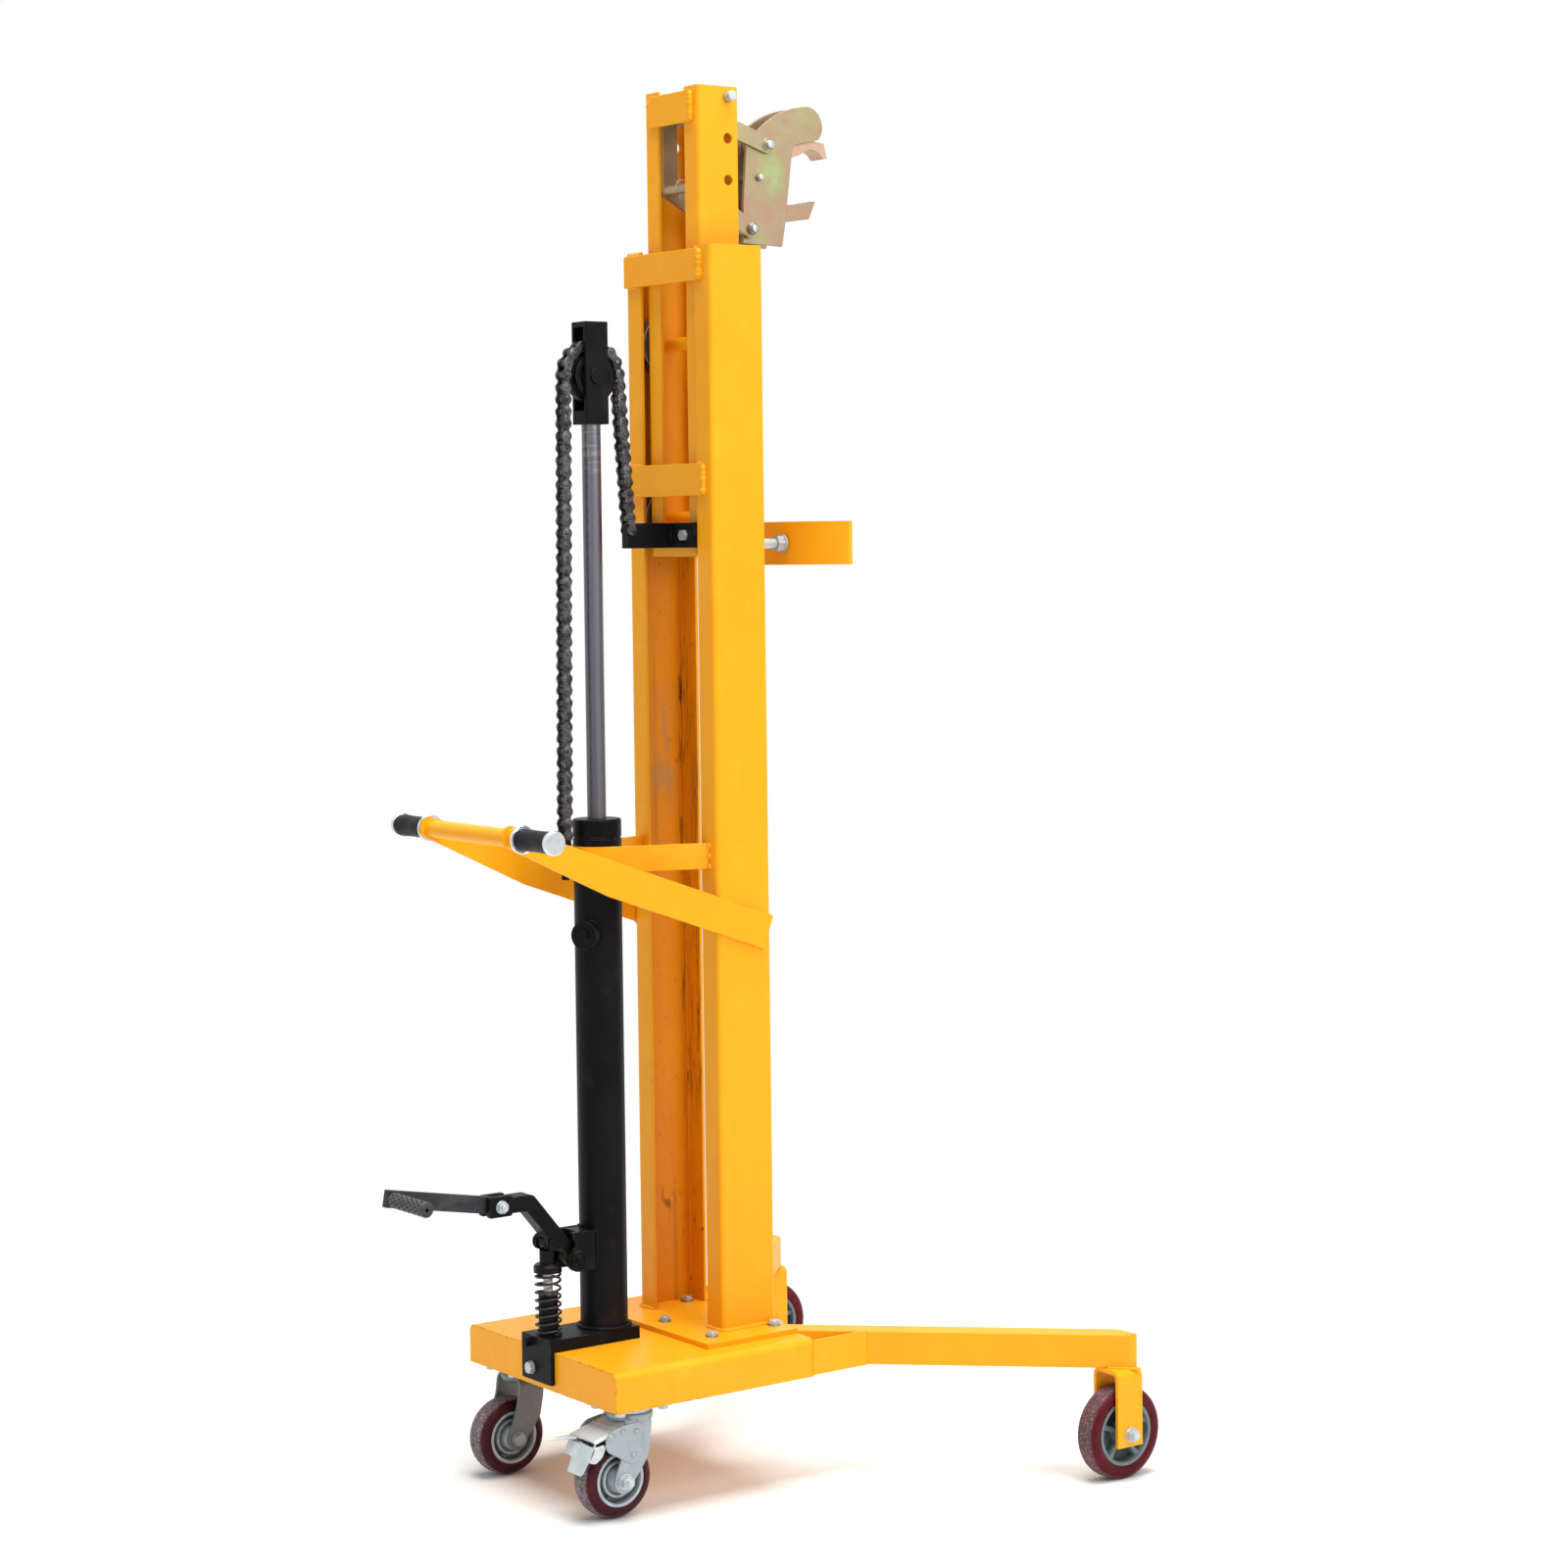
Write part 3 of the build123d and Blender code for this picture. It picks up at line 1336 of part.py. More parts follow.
# Push handle
def handle_plate():
    slope = math.radians(handle_slope)
    along = (-math.cos(slope), math.sin(slope))
    down = (-math.sin(slope), -math.cos(slope))
    top_front = (mast_depth / 2, handle_front_z)
    low_front = (top_front[0] + down[0] * handle_bar_w, top_front[1] + down[1] * handle_bar_w)
    run = (mast_depth / 2 - handle_tube_y + handle_tube_r) / math.cos(slope)
    top_rear = (top_front[0] + along[0] * run, top_front[1] + along[1] * run)
    low_rear = (top_rear[0] + down[0] * handle_end_w, top_rear[1] + down[1] * handle_end_w)
    kink_run = (low_front[0] - handle_kink_y) / math.cos(slope)
    kink = (low_front[0] + along[0] * kink_run, low_front[1] + along[1] * kink_run)
    face = outline([top_front, low_front, kink, low_rear, top_rear])
    face = round_corners(face, [low_rear, top_rear], handle_end_round)
    plate = plate_x(face, mast_half, handle_x)
    return plate - rod_x(handle_tube_r + run_gap, mast_half - 1, handle_x + 1, handle_tube_y, handle_tube_z)


handle_rise = (mast_depth / 2 - handle_tube_y) * math.tan(math.radians(handle_slope))
handle_front_z = handle_tube_z + handle_top_margin - handle_rise
tube_in_r = handle_tube_r - handle_tube_wall


def handle_rod(radius, x0, x1):
    # Round bar on the handle tube's axis; the tube sits off the truck's middle
    return rod_x(radius, x0 + handle_shift, x1 + handle_shift, handle_tube_y, handle_tube_z)


def handle_tube():
    end = handle_half - cap_t
    return handle_rod(handle_tube_r, -end, end) - handle_rod(tube_in_r, -handle_half, handle_half)


def handle_grip(x0, x1):
    grip = handle_rod(grip_r, x0, x1)
    grip = fillet(grip.edges().filter_by(GeomType.CIRCLE), grip_edge)
    return grip - handle_rod(handle_tube_r + run_gap, x0 - 1, x1 + 1)


def grip_ring(x0, x1):
    ring = handle_rod(ring_r, x0, x1)
    ring = fillet(ring.edges().filter_by(GeomType.CIRCLE), ring_edge)
    return ring - handle_rod(handle_tube_r + run_gap, x0 - 1, x1 + 1)


def grip_cap(side):
    start = handle_half - cap_t
    low = min(side * start, side * handle_half)
    cap = handle_rod(cap_r, low, low + cap_t)
    outer = cap.edges().filter_by(GeomType.CIRCLE).sort_by(Axis.X)
    cap = fillet(outer[-1:] if side > 0 else outer[:1], cap_edge)
    low = min(side * start, side * (start - cap_spigot))
    return cap + handle_rod(tube_in_r - run_gap, low, low + cap_spigot)


# Backrest: curved plate ahead of the inner mast on two studs
stud_x = inner_slot / 2 + stud_nut_af / 2
backrest_centre = backrest_mid_y + backrest_r


def backrest():
    outer = Pos(0, backrest_centre) * Circle(backrest_r + backrest_t)
    ring = outer - Pos(0, backrest_centre) * Circle(backrest_r)
    reach = backrest_centre - math.sqrt(backrest_r**2 - backrest_half**2)
    window = outline([
        (-backrest_half, 0.0),
        (backrest_half, 0.0),
        (backrest_half, reach + backrest_t),
        (-backrest_half, reach + backrest_t),
    ])
    plate = extrude(Plane.XY.offset(backrest_z - backrest_h / 2) * (ring & window), backrest_h)
    for x in (-stud_x, stud_x):
        plate = plate - rod_y(stud_r + run_gap, 0, backrest_centre, x, backrest_z)
    return plate


def backrest_back(x):
    return backrest_centre - math.sqrt((backrest_r + backrest_t) ** 2 - x**2)


def backrest_stud(x):
    start = inner_depth / 2
    seat = backrest_back(abs(x) - stud_washer_r) - seat_gap
    nut_end = seat - stud_washer_t
    tail = backrest_back(x) + backrest_t + stud_tail
    stud = rod_y(stud_r, start, tail, x, backrest_z)
    hole = rod_y(stud_r + run_gap, start, tail, x, backrest_z)
    washer = rod_y(stud_washer_r, nut_end, seat, x, backrest_z) - hole
    nut = hex_y(stud_nut_af, nut_end - stud_nut_h, nut_end, x, backrest_z) - hole
    return group(stud, washer, nut)


# Gripper: the outlines are drawn in (y, z) about the jaw's pin
jaw_place = Pos(jaw_pivot_y, jaw_pivot_z)


def beak_face():
    # Side plate with its beak: straight back and foot, curved top, and a throat below the beak
    with BuildSketch() as face:
        with BuildLine():
            Polyline((-39, -7), (-46, -97), (-47, -159), (30.5, -163), (39, -117), (43, -81), (52, -14))
            ThreePointArc((52, -14), (56, -1), (67, 6))
            Line((67, 6), (106, 14))
            ThreePointArc((106, 14), (114.5, 30), (113, 45))
            ThreePointArc((113, 45), (104, 59), (85, 67))
            ThreePointArc((85, 67), (12, 44), (-39, -7))
        make_face()
    return jaw_place * face.sketch


def gripper_plate():
    plate = plate_x(beak_face(), jaw_plate_x, jaw_plate_out)
    for y, z, radius in (
        (jaw_pivot_y, jaw_pivot_z, jaw_pin_r),
        (guide_pin_y, guide_pin_z, jaw_pin_r),
        (lower_bolt_y, lower_bolt_z, jaw_pin_r),
    ):
        plate = plate - rod_x(radius + run_gap, jaw_plate_x - 1, jaw_plate_out + 1, y, z)
    return plate


def upper_jaw():
    # Hook that hangs on the jaw pin between the plates and closes over the rim
    half = jaw_width / 2
    with BuildSketch() as face:
        with BuildLine():
            Polyline((124, 10), (129.5, -14), (121.5, -15))
            ThreePointArc((121.5, -15), (101, -1), (77, -10))
            Polyline((77, -10), (47, -20), (-2, -17))
            ThreePointArc((-2, -17), (-17, 0), (0, 17))
            Polyline((0, 17), (67, 18), (124, 10))
        make_face()
    hook = plate_x(jaw_place * face.sketch, -half, half)
    return hook - rod_x(jaw_pin_r + run_gap, -half - 1, half + 1, jaw_pivot_y, jaw_pivot_z)


def lower_jaw():
    # Fixed lip under the rim, welded between the plates
    lip = outline([(21, -124), (90, -115), (103, -86), (94, -86), (75, -92), (55, -93), (21, -96)])
    return plate_x(jaw_place * lip, -jaw_plate_x, jaw_plate_x)


def washered_pin(y, z, seat):
    # Pin across the plates with a washer on each end, outside the seat
    reach = seat + pin_tail
    start = seat + seat_gap
    pin = rod_x(jaw_pin_r, -reach, reach, y, z)
    washer = rod_x(pin_washer_r, start, start + washer_t, y, z) - rod_x(jaw_pin_r + run_gap, 0, reach, y, z)
    return [pin, washer, mirrored(washer)]


def gripper_pins():
    pins = washered_pin(jaw_pivot_y, jaw_pivot_z, link_x + link_t)
    guide_half = jaw_plate_out + guide_tail
    pins = pins + [rod_x(jaw_pin_r, -guide_half, guide_half, guide_pin_y, guide_pin_z)]
    pins = pins + washered_pin(lower_bolt_y, lower_bolt_z, carrier_x + carrier_t)
    return group(*pins)


def gripper_link():
    back = (link_back_y, link_back_z)
    link = plate_x(bar_between(back, (jaw_pivot_y, jaw_pivot_z), link_w), link_x, link_x + link_t)
    link = link - rod_x(jaw_pin_r + run_gap, link_x - 1, carrier_x, jaw_pivot_y, jaw_pivot_z)
    return link - rod_x(jaw_pin_r + run_gap, link_x - 1, carrier_x, link_back_y, link_back_z)


def carrier_side():
    # Side bar inside the inner channels: a post, an arm to the height pin and an arm to the lower bolt
    post = bar_between((link_back_y, cross_rod_z), (link_back_y, link_back_z), carrier_bar_w)
    top_arm = bar_between((link_back_y, link_back_z), (hole_y, hole_top), carrier_bar_w)
    low_arm = bar_between((link_back_y, cross_rod_z), (lower_bolt_y, lower_bolt_z), carrier_bar_w)
    side = plate_x(post + top_arm + low_arm, carrier_x, carrier_x + carrier_t)
    for y, z, radius in (
        (hole_y, hole_top, height_pin_r),
        (link_back_y, link_back_z, jaw_pin_r),
        (cross_rod_y, cross_rod_z, cross_rod_r),
        (lower_bolt_y, lower_bolt_z, jaw_pin_r),
    ):
        side = side - rod_x(radius + run_gap, carrier_x - 1, carrier_x + carrier_t + 1, y, z)
    return side


def gripper_carrier():
    rod_half = inner_half - inner_wall - cross_rod_gap
    rod = rod_x(cross_rod_r, -rod_half, rod_half, cross_rod_y, cross_rod_z)
    pin = rod_x(jaw_pin_r, -carrier_x - carrier_t, carrier_x + carrier_t, link_back_y, link_back_z)
    return group(carrier_side(), mirrored(carrier_side()), rod, pin)


def height_pin():
    pin = rod_x(height_pin_r, -inner_half - height_pin_back, inner_half + height_pin_out, hole_y, hole_top)
    return chamfer(pin.edges().filter_by(GeomType.CIRCLE), height_pin_edge)


# Assembly
rear_right = Pos(caster_x, -caster_y, 0)
rear_left = Pos(-caster_x, -caster_y, 0)

pieces["base_tray"] = base_tray()
pieces["side_gussets"] = group(side_gusset(), mirrored(side_gusset()))
pieces["leg_right"] = leg()
pieces["leg_left"] = mirrored(leg())
pieces["front_forks"] = group(front_fork(), mirrored(front_fork()))
pieces["front_axles"] = group(front_axle(), mirrored(front_axle()))
pieces["front_wheel_right"] = front_wheel()
pieces["front_wheel_left"] = mirrored(front_wheel())

pieces["caster_plates"] = group(rear_right * caster_plate(), rear_left * caster_plate())
pieces["caster_fork_right"] = rear_right * group(
    caster_fork(), caster_axle(), brake_cheek(), mirrored(brake_cheek())
)
pieces["caster_fork_left"] = rear_left * group(caster_fork(), caster_axle())
pieces["rear_wheel_right"] = rear_right * rear_wheel()
pieces["rear_wheel_left"] = rear_left * rear_wheel()
pieces["brake_pedal"] = rear_right * brake_pedal()

pieces["foot_plate"] = foot_plate()
outer_right = channel(mast_half, mast_depth, mast_flange, mast_wall, mast_bend, foot_top, mast_top)
pieces["outer_channel_right"] = outer_right
pieces["outer_channel_left"] = mirrored(outer_right)
top_bar_z = mast_top - top_bar_drop - outer_bar_h / 2
pieces["outer_crossbars"] = group(outer_bar(top_bar_z, top_bar_offset), outer_bar(mid_bar_z, mid_bar_offset))
pieces["cylinder_strap"] = cylinder_strap()

pieces["inner_channel_right"] = inner_channel()
pieces["inner_channel_left"] = mirrored(inner_channel())
inner_bar_top = inner_top - inner_bar_drop
pieces["inner_crossbars"] = group(inner_bar(inner_bar_top - inner_bar_h), inner_bar(inner_bottom))
pieces["roller_shafts"] = group(roller_shaft(roller_upper_z), roller_shaft(roller_lower_z))
pieces["guide_rollers_upper"] = group(guide_roller(roller_upper_z), mirrored(guide_roller(roller_upper_z)))
pieces["guide_rollers_lower"] = group(guide_roller(roller_lower_z), mirrored(guide_roller(roller_lower_z)))
pieces["backrest"] = backrest()
pieces["carriage_fasteners"] = group(backrest_stud(stud_x), backrest_stud(-stud_x), *bracket_bolts())

pieces["pump_base"] = pump_base()
pieces["cylinder_barrel"] = cylinder_barrel()
pieces["cylinder_gland"] = cylinder_gland()
pieces["fill_plug"] = fill_plug()
pieces["piston_rod"] = piston_rod()
pieces["sheave_block"] = sheave_block()
pieces["sheave_axle"] = sheave_axle()
pieces["sheave"] = sheave()
rear_joints = straight_joints((anchor_y, anchor_z), (chain_rear_y, chain_rear_z), rear_pitches)
front_joints = straight_joints((chain_front_y, chain_front_z), (front_pin_y, front_pin_z), front_pitches)
pieces["chain_rear"] = chain_run(rear_joints, 0)
pieces["chain_wrap"] = chain_run(wrap_joints(), rear_pitches)
pieces["chain_front"] = chain_run(front_joints, rear_pitches + wrap_pitches)
pieces["chain_anchor"] = chain_anchor()
pieces["chain_bracket"] = chain_bracket()

pieces["release_valve"] = release_valve()
pieces["pump_barrel"] = pump_barrel()
pieces["pump_plunger"] = pump_plunger()
pieces["pump_spring"] = pump_spring()
pieces["lever_lug"] = lever_lug()
pieces["pump_lever"] = pump_lever()
pieces["pedal_bar"] = pedal_bar()
pieces["pedal_grip"] = pedal_grip()

pieces["handle_plates"] = group(handle_plate(), mirrored(handle_plate()))
pieces["handle_tube"] = handle_tube()
grip_end = grip_x + grip_length
pieces["handle_grips"] = group(handle_grip(grip_x, grip_end), handle_grip(-grip_end, -grip_x))
pieces["grip_trim"] = group(grip_ring(ring_x, grip_x), grip_ring(-grip_x, -ring_x), grip_cap(1), grip_cap(-1))

pieces["gripper_plates"] = group(gripper_plate(), mirrored(gripper_plate()))
pieces["upper_jaw"] = upper_jaw()
pieces["lower_jaw"] = lower_jaw()
pieces["gripper_pins"] = gripper_pins()
pieces["gripper_links"] = group(gripper_link(), mirrored(gripper_link()))
pieces["gripper_carrier"] = gripper_carrier()
pieces["height_pin"] = height_pin()

frame_bolts = [tab_bolt()]
for bolt_x, bolt_y in foot_bolts:
    frame_bolts.append(foot_bolt(bolt_x, bolt_y))
for caster in (rear_right, rear_left):
    for bolt in caster_bolts():
        frame_bolts.append(caster * bolt)
pieces["frame_bolts"] = group(*frame_bolts)

os.makedirs("parts", exist_ok=True)
for name, shape in pieces.items():
    export_step(Pos(0, origin_shift, 0) * shape, "parts/" + name + ".step")
print(len(pieces), "nodes; origin shift", round(origin_shift, 2), "mm")
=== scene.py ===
import json
import math

import bmesh
import bpy
import numpy as np
from mathutils import Matrix, Vector


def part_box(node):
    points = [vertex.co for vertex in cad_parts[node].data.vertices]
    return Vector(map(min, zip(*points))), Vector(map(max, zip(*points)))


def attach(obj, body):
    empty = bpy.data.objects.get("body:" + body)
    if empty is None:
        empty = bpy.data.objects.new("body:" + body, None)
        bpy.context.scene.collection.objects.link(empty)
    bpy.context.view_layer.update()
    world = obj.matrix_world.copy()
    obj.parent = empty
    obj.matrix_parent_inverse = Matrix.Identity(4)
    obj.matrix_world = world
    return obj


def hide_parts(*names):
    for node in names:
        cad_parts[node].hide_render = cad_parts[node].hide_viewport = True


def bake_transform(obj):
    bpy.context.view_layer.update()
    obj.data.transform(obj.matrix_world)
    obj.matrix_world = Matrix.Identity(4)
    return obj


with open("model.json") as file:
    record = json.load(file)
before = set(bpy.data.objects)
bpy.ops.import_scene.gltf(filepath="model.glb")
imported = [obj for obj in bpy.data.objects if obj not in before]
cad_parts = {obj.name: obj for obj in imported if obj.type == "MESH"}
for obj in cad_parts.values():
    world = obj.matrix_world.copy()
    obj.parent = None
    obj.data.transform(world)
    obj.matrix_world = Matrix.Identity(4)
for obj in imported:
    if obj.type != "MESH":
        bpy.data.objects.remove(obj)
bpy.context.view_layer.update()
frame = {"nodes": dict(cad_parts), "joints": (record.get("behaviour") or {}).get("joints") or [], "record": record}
nodes = frame["nodes"]
joints = {joint["name"]: joint for joint in frame["joints"]}
mm = 0.001
fullTurn = 2 * math.pi
print("frame loaded:", len(nodes), "nodes")


def jointPoint(name):
    # where a joint's axis stands, in metres
    return np.array(joints[name]["pos_m"], float)


# Drawing millimetres, with the mast's middle at y = 0, to the part's frame in metres
mastY = jointPoint("upper_roller_turn")[1]


def drawn(points):
    return np.asarray(points, float) * mm + (0.0, mastY, 0.0)


def linearColor(code):
    # sRGB to linear: c / 12.92 near black, ((c + 0.055) / 1.055) to the power 2.4 above
    shade = np.array([int(code[at:at + 2], 16) for at in (1, 3, 5)]) / 255
    linear = np.where(shade <= 0.04045, shade / 12.92, ((shade + 0.055) / 1.055) ** 2.4)
    return (*linear.tolist(), 1.0)


# Surfaces are (points, quads, rims): rims holds arrays of many-sided faces
def gridSurface(points, closeU=False, closeV=False, caps=False):
    # points[i, j] of two parameters; neighbours make quads, a closed parameter runs on to its first row
    nu, nv = points.shape[:2]
    i, j = np.meshgrid(np.arange(nu - (not closeU)), np.arange(nv - (not closeV)), indexing="ij")
    a, b = (i + 1) % nu, (j + 1) % nv
    quads = np.stack([i * nv + j, a * nv + j, a * nv + b, i * nv + b], -1).reshape(-1, 4)
    ends = np.arange(nv) + np.array([[0], [(nu - 1) * nv]])
    return points.reshape(-1, 3), quads, [ends] if caps else []


def turned(profile, centre, axis="x", steps=64, loop=False):
    # profile (radius, along) in mm turned about an axis: along on the axis, radius * (cos t, sin t) across it
    radius, along = (np.asarray(part, float) for part in profile)
    turn = np.linspace(0, fullTurn, steps, endpoint=False)
    radius = radius.reshape(len(along), -1)
    points = np.zeros((len(along), steps, 3))
    k = "xyz".index(axis)
    points[..., k] = along[:, None]
    points[..., (k + 1) % 3] = radius * np.cos(turn)
    points[..., (k + 2) % 3] = radius * np.sin(turn)
    return gridSurface(points * mm + centre, closeU=loop, closeV=True, caps=not loop)


def swept(path, section, up=(0, 0, 1), closed=False):
    # section (a, b) carried along a path: path + a * side + b * top, side = way x up, top = side x way
    path = np.asarray(path, float)
    way = np.roll(path, -1, 0) - np.roll(path, 1, 0) if closed else np.gradient(path, axis=0)
    way /= np.linalg.norm(way, axis=1, keepdims=True)
    side = np.cross(way, up)
    side /= np.linalg.norm(side, axis=1, keepdims=True)
    top = np.cross(side, way)
    section = np.asarray(section, float)
    points = path[:, None] + section[..., :1] * side[:, None] + section[..., 1:] * top[:, None]
    return gridSurface(points, closeU=closed, closeV=True, caps=not closed)


def ringSection(radius, count=12):
    # circle of the given radius in metres
    turn = np.linspace(0, fullTurn, count, endpoint=False)
    return np.stack([np.cos(turn), np.sin(turn)], -1) * np.asarray(radius)[..., None, None]


def joined(surfaces):
    # one surface from many: each one's faces are counted on from the points before it
    points = np.concatenate([surface[0] for surface in surfaces])
    starts = np.cumsum([0] + [len(surface[0]) for surface in surfaces])
    quads = np.concatenate([surface[1] + start for surface, start in zip(surfaces, starts)])
    rims = [rim + start for surface, start in zip(surfaces, starts) for rim in surface[2]]
    return points, quads, rims


def mirroredX(surface):
    # (x, y, z) to (-x, y, z)
    return surface[0] * (-1, 1, 1), surface[1], surface[2]


def makePiece(name, surfaces, finish, body, replaced=(), sharp=32, marks=None, bend=None):
    # a mesh from surfaces, smooth but for edges sharper than the given angle; marks are values at its points,
    # and a piece given a bend is baked where it stands and attached to no body
    points, quads, rims = joined(surfaces)
    mesh = bpy.data.meshes.new(name)
    mesh.from_pydata(points, [], quads.tolist() + [face for rim in rims for face in rim.tolist()])
    shell = bmesh.new()
    shell.from_mesh(mesh)
    bmesh.ops.recalc_face_normals(shell, faces=shell.faces)
    shell.to_mesh(mesh)
    shell.free()
    mesh.shade_smooth()
    mesh.set_sharp_from_angle(angle=math.radians(sharp))
    for mark, values in (marks or {}).items():
        mesh.attributes.new(mark, "FLOAT", "POINT").data.foreach_set("value", values.astype(np.float32))
    mesh.materials.append(finish)
    piece = bpy.data.objects.new(name, mesh)
    bpy.context.scene.collection.objects.link(piece)
    if bend:
        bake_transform(piece)
    else:
        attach(piece, body)
    if replaced:
        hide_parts(*replaced)


def addNode(tree, kind, inputs=None, **settings):
    # a node of any kind: an input is a value, or the socket that feeds it
    node = tree.nodes.new("ShaderNode" + kind)
    for key, value in settings.items():
        setattr(node, key, value)
    for key, value in (inputs or {}).items():
        if isinstance(value, bpy.types.NodeSocket):
            tree.links.new(value, node.inputs[key])
        else:
            node.inputs[key].default_value = value
    return node


def mastBand(low, high, soft):
    # a band of y between two places measured from the mast's middle, soft at both ends
    return "y", low + mastY / mm, high + mastY / mm, soft


def perMetre(grain):
    # a grain in mm, one size or one for each axis, as repeats to the metre
    sizes = grain if isinstance(grain, tuple) else (grain,) * 3
    return [1000 / size for size in sizes]


def coat(color, grain, span, cover=1.0, **more):
    # one layer of a finish: colour, grain of its noise in mm (one size, or one for each axis), the span of
    # noise that it fades in over, and the most it covers; more gives rough, detail, edge, bands and so on
    return dict(more, color=color, grain=grain, span=span, cover=cover)


def layerMask(tree, place, layer):
    # one layer's cover from 0 to 1: noise of a given grain in mm, stretched between low and high,
    # then cut to bands of the object's axes, to a painted mark or to edges
    low, high = layer["span"]
    shift = layer.get("offset", (0, 0, 0))
    spread = addNode(tree, "Mapping", {"Vector": place, "Scale": perMetre(layer["grain"]), "Location": shift})
    noise = addNode(tree, "TexNoise", {"Vector": spread.outputs[0], "Scale": 1.0,
                                       "Detail": layer.get("detail", 3.0), "Roughness": 0.6,
                                       "Distortion": layer.get("swirl", 0.0)})
    value = noise.outputs[0]
    if "edge" in layer:
        # the rounded normal leaves the flat one within this width of an edge
        bevel = addNode(tree, "Bevel", {"Radius": layer["edge"] * mm}, samples=4)
        flat = addNode(tree, "NewGeometry")
        same = addNode(tree, "VectorMath", {0: bevel.outputs[0], 1: flat.outputs["Normal"]},
                       operation="DOT_PRODUCT")
        near = addNode(tree, "MapRange", {"Value": same.outputs["Value"], "From Min": 1.0, "From Max": 0.9,
                                          "To Min": -0.25, "To Max": 0.3})
        value = addNode(tree, "Math", {0: value, 1: near.outputs[0]}, operation="ADD").outputs[0]
    mask = addNode(tree, "MapRange", {"Value": value, "From Min": low, "From Max": high,
                                      "To Max": layer["cover"]}, interpolation_type="SMOOTHSTEP").outputs[0]
    for axis, start, end, soft in layer.get("bands", ()):
        along = addNode(tree, "SeparateXYZ", {0: place}).outputs["xyz".index(axis)]
        rise = addNode(tree, "MapRange", {"Value": along, "From Min": (start - soft) * mm,
                                          "From Max": (start + soft) * mm})
        fall = addNode(tree, "MapRange", {"Value": along, "From Min": (end + soft) * mm,
                                          "From Max": (end - soft) * mm})
        both = addNode(tree, "Math", {0: rise.outputs[0], 1: fall.outputs[0]}, operation="MULTIPLY")
        mask = addNode(tree, "Math", {0: mask, 1: both.outputs[0]}, operation="MULTIPLY").outputs[0]
    if "mark" in layer:
        mark = addNode(tree, "Attribute", attribute_name=layer["mark"])
        mask = addNode(tree, "Math", {0: mask, 1: mark.outputs["Fac"]}, operation="MULTIPLY").outputs[0]
    return mask


def makeFinish(name, recipe):
    # base colour with each layer's colour laid over it by its mask; roughness follows the same masks
    finish = bpy.data.materials.new(name)
    finish.use_nodes = True
    tree = finish.node_tree
    shader = tree.nodes["Principled BSDF"]
    place = addNode(tree, "TexCoord").outputs["Object"]
    color, rough = linearColor(recipe["base"]), recipe["rough"]
    for layer in recipe["layers"]:
        mask = layerMask(tree, place, layer)
        mix = addNode(tree, "Mix", {0: mask, 6: color, 7: linearColor(layer["color"])}, data_type="RGBA")
        color = mix.outputs[2]
        if "rough" in layer:
            blend = addNode(tree, "Mix", {0: mask, 2: rough, 3: layer["rough"]}, data_type="FLOAT")
            rough = blend.outputs[0]
    tree.links.new(color, shader.inputs["Base Color"])
    if isinstance(rough, float):
        shader.inputs["Roughness"].default_value = rough
    else:
        tree.links.new(rough, shader.inputs["Roughness"])
    for socket, value in recipe.get("set", {}).items():
        shader.inputs[socket].default_value = value
    normal = None
    if "round" in recipe:
        normal = addNode(tree, "Bevel", {"Radius": recipe["round"] * mm}, samples=4).outputs[0]
    if "bump" in recipe:
        grain, depth = recipe["bump"]
        spread = addNode(tree, "Mapping", {"Vector": place, "Scale": perMetre(grain)})
        noise = addNode(tree, "TexNoise", {"Vector": spread.outputs[0], "Scale": 1.0, "Detail": 2.0})
        bump = addNode(tree, "Bump", {"Height": noise.outputs[0], "Distance": depth * mm, "Strength": 1.0})
        if normal is not None:
            tree.links.new(normal, bump.inputs["Normal"])
        normal = bump.outputs[0]
    if normal is not None:
        tree.links.new(normal, shader.inputs["Normal"])
    return finish


# Sprayed enamel on welded steel: satin, slightly orange-peeled, chipped at edges, rubbed here and there
yellowRecipe = {
    "base": "#F5A612", "rough": 0.38, "round": 1.4,
    "bump": (2.6, 0.05),
    "set": {"Specular IOR Level": 0.2},
    "layers": [
        coat("#EE9C12", 420, (0.42, 0.7), 0.55),
        coat("#FDB62E", (60, 60, 90), (0.5, 0.75), 0.3, rough=0.42),
        coat("#A8701C", (90, 70, 7), (0.66, 0.78), 0.22, detail=5.0, rough=0.55),
        coat("#7A4A16", 9, (0.74, 0.84), 0.16, detail=6.0, rough=0.6),
        coat("#6B4116", 14, (0.86, 0.97), 0.75, edge=1.6, rough=0.62),
    ],
}
yellowEnamel = makeFinish("sprayedYellowEnamel", yellowRecipe)

# The tray's corners and lower edges are knocked through to rust
chippedRecipe = dict(yellowRecipe)
chippedRecipe["layers"] = yellowRecipe["layers"][:-1] + [
    coat("#5A3314", 7, (0.8, 0.88), 0.85, edge=5.0, rough=0.62)]
chippedEnamel = makeFinish("chippedYellowEnamel", chippedRecipe)
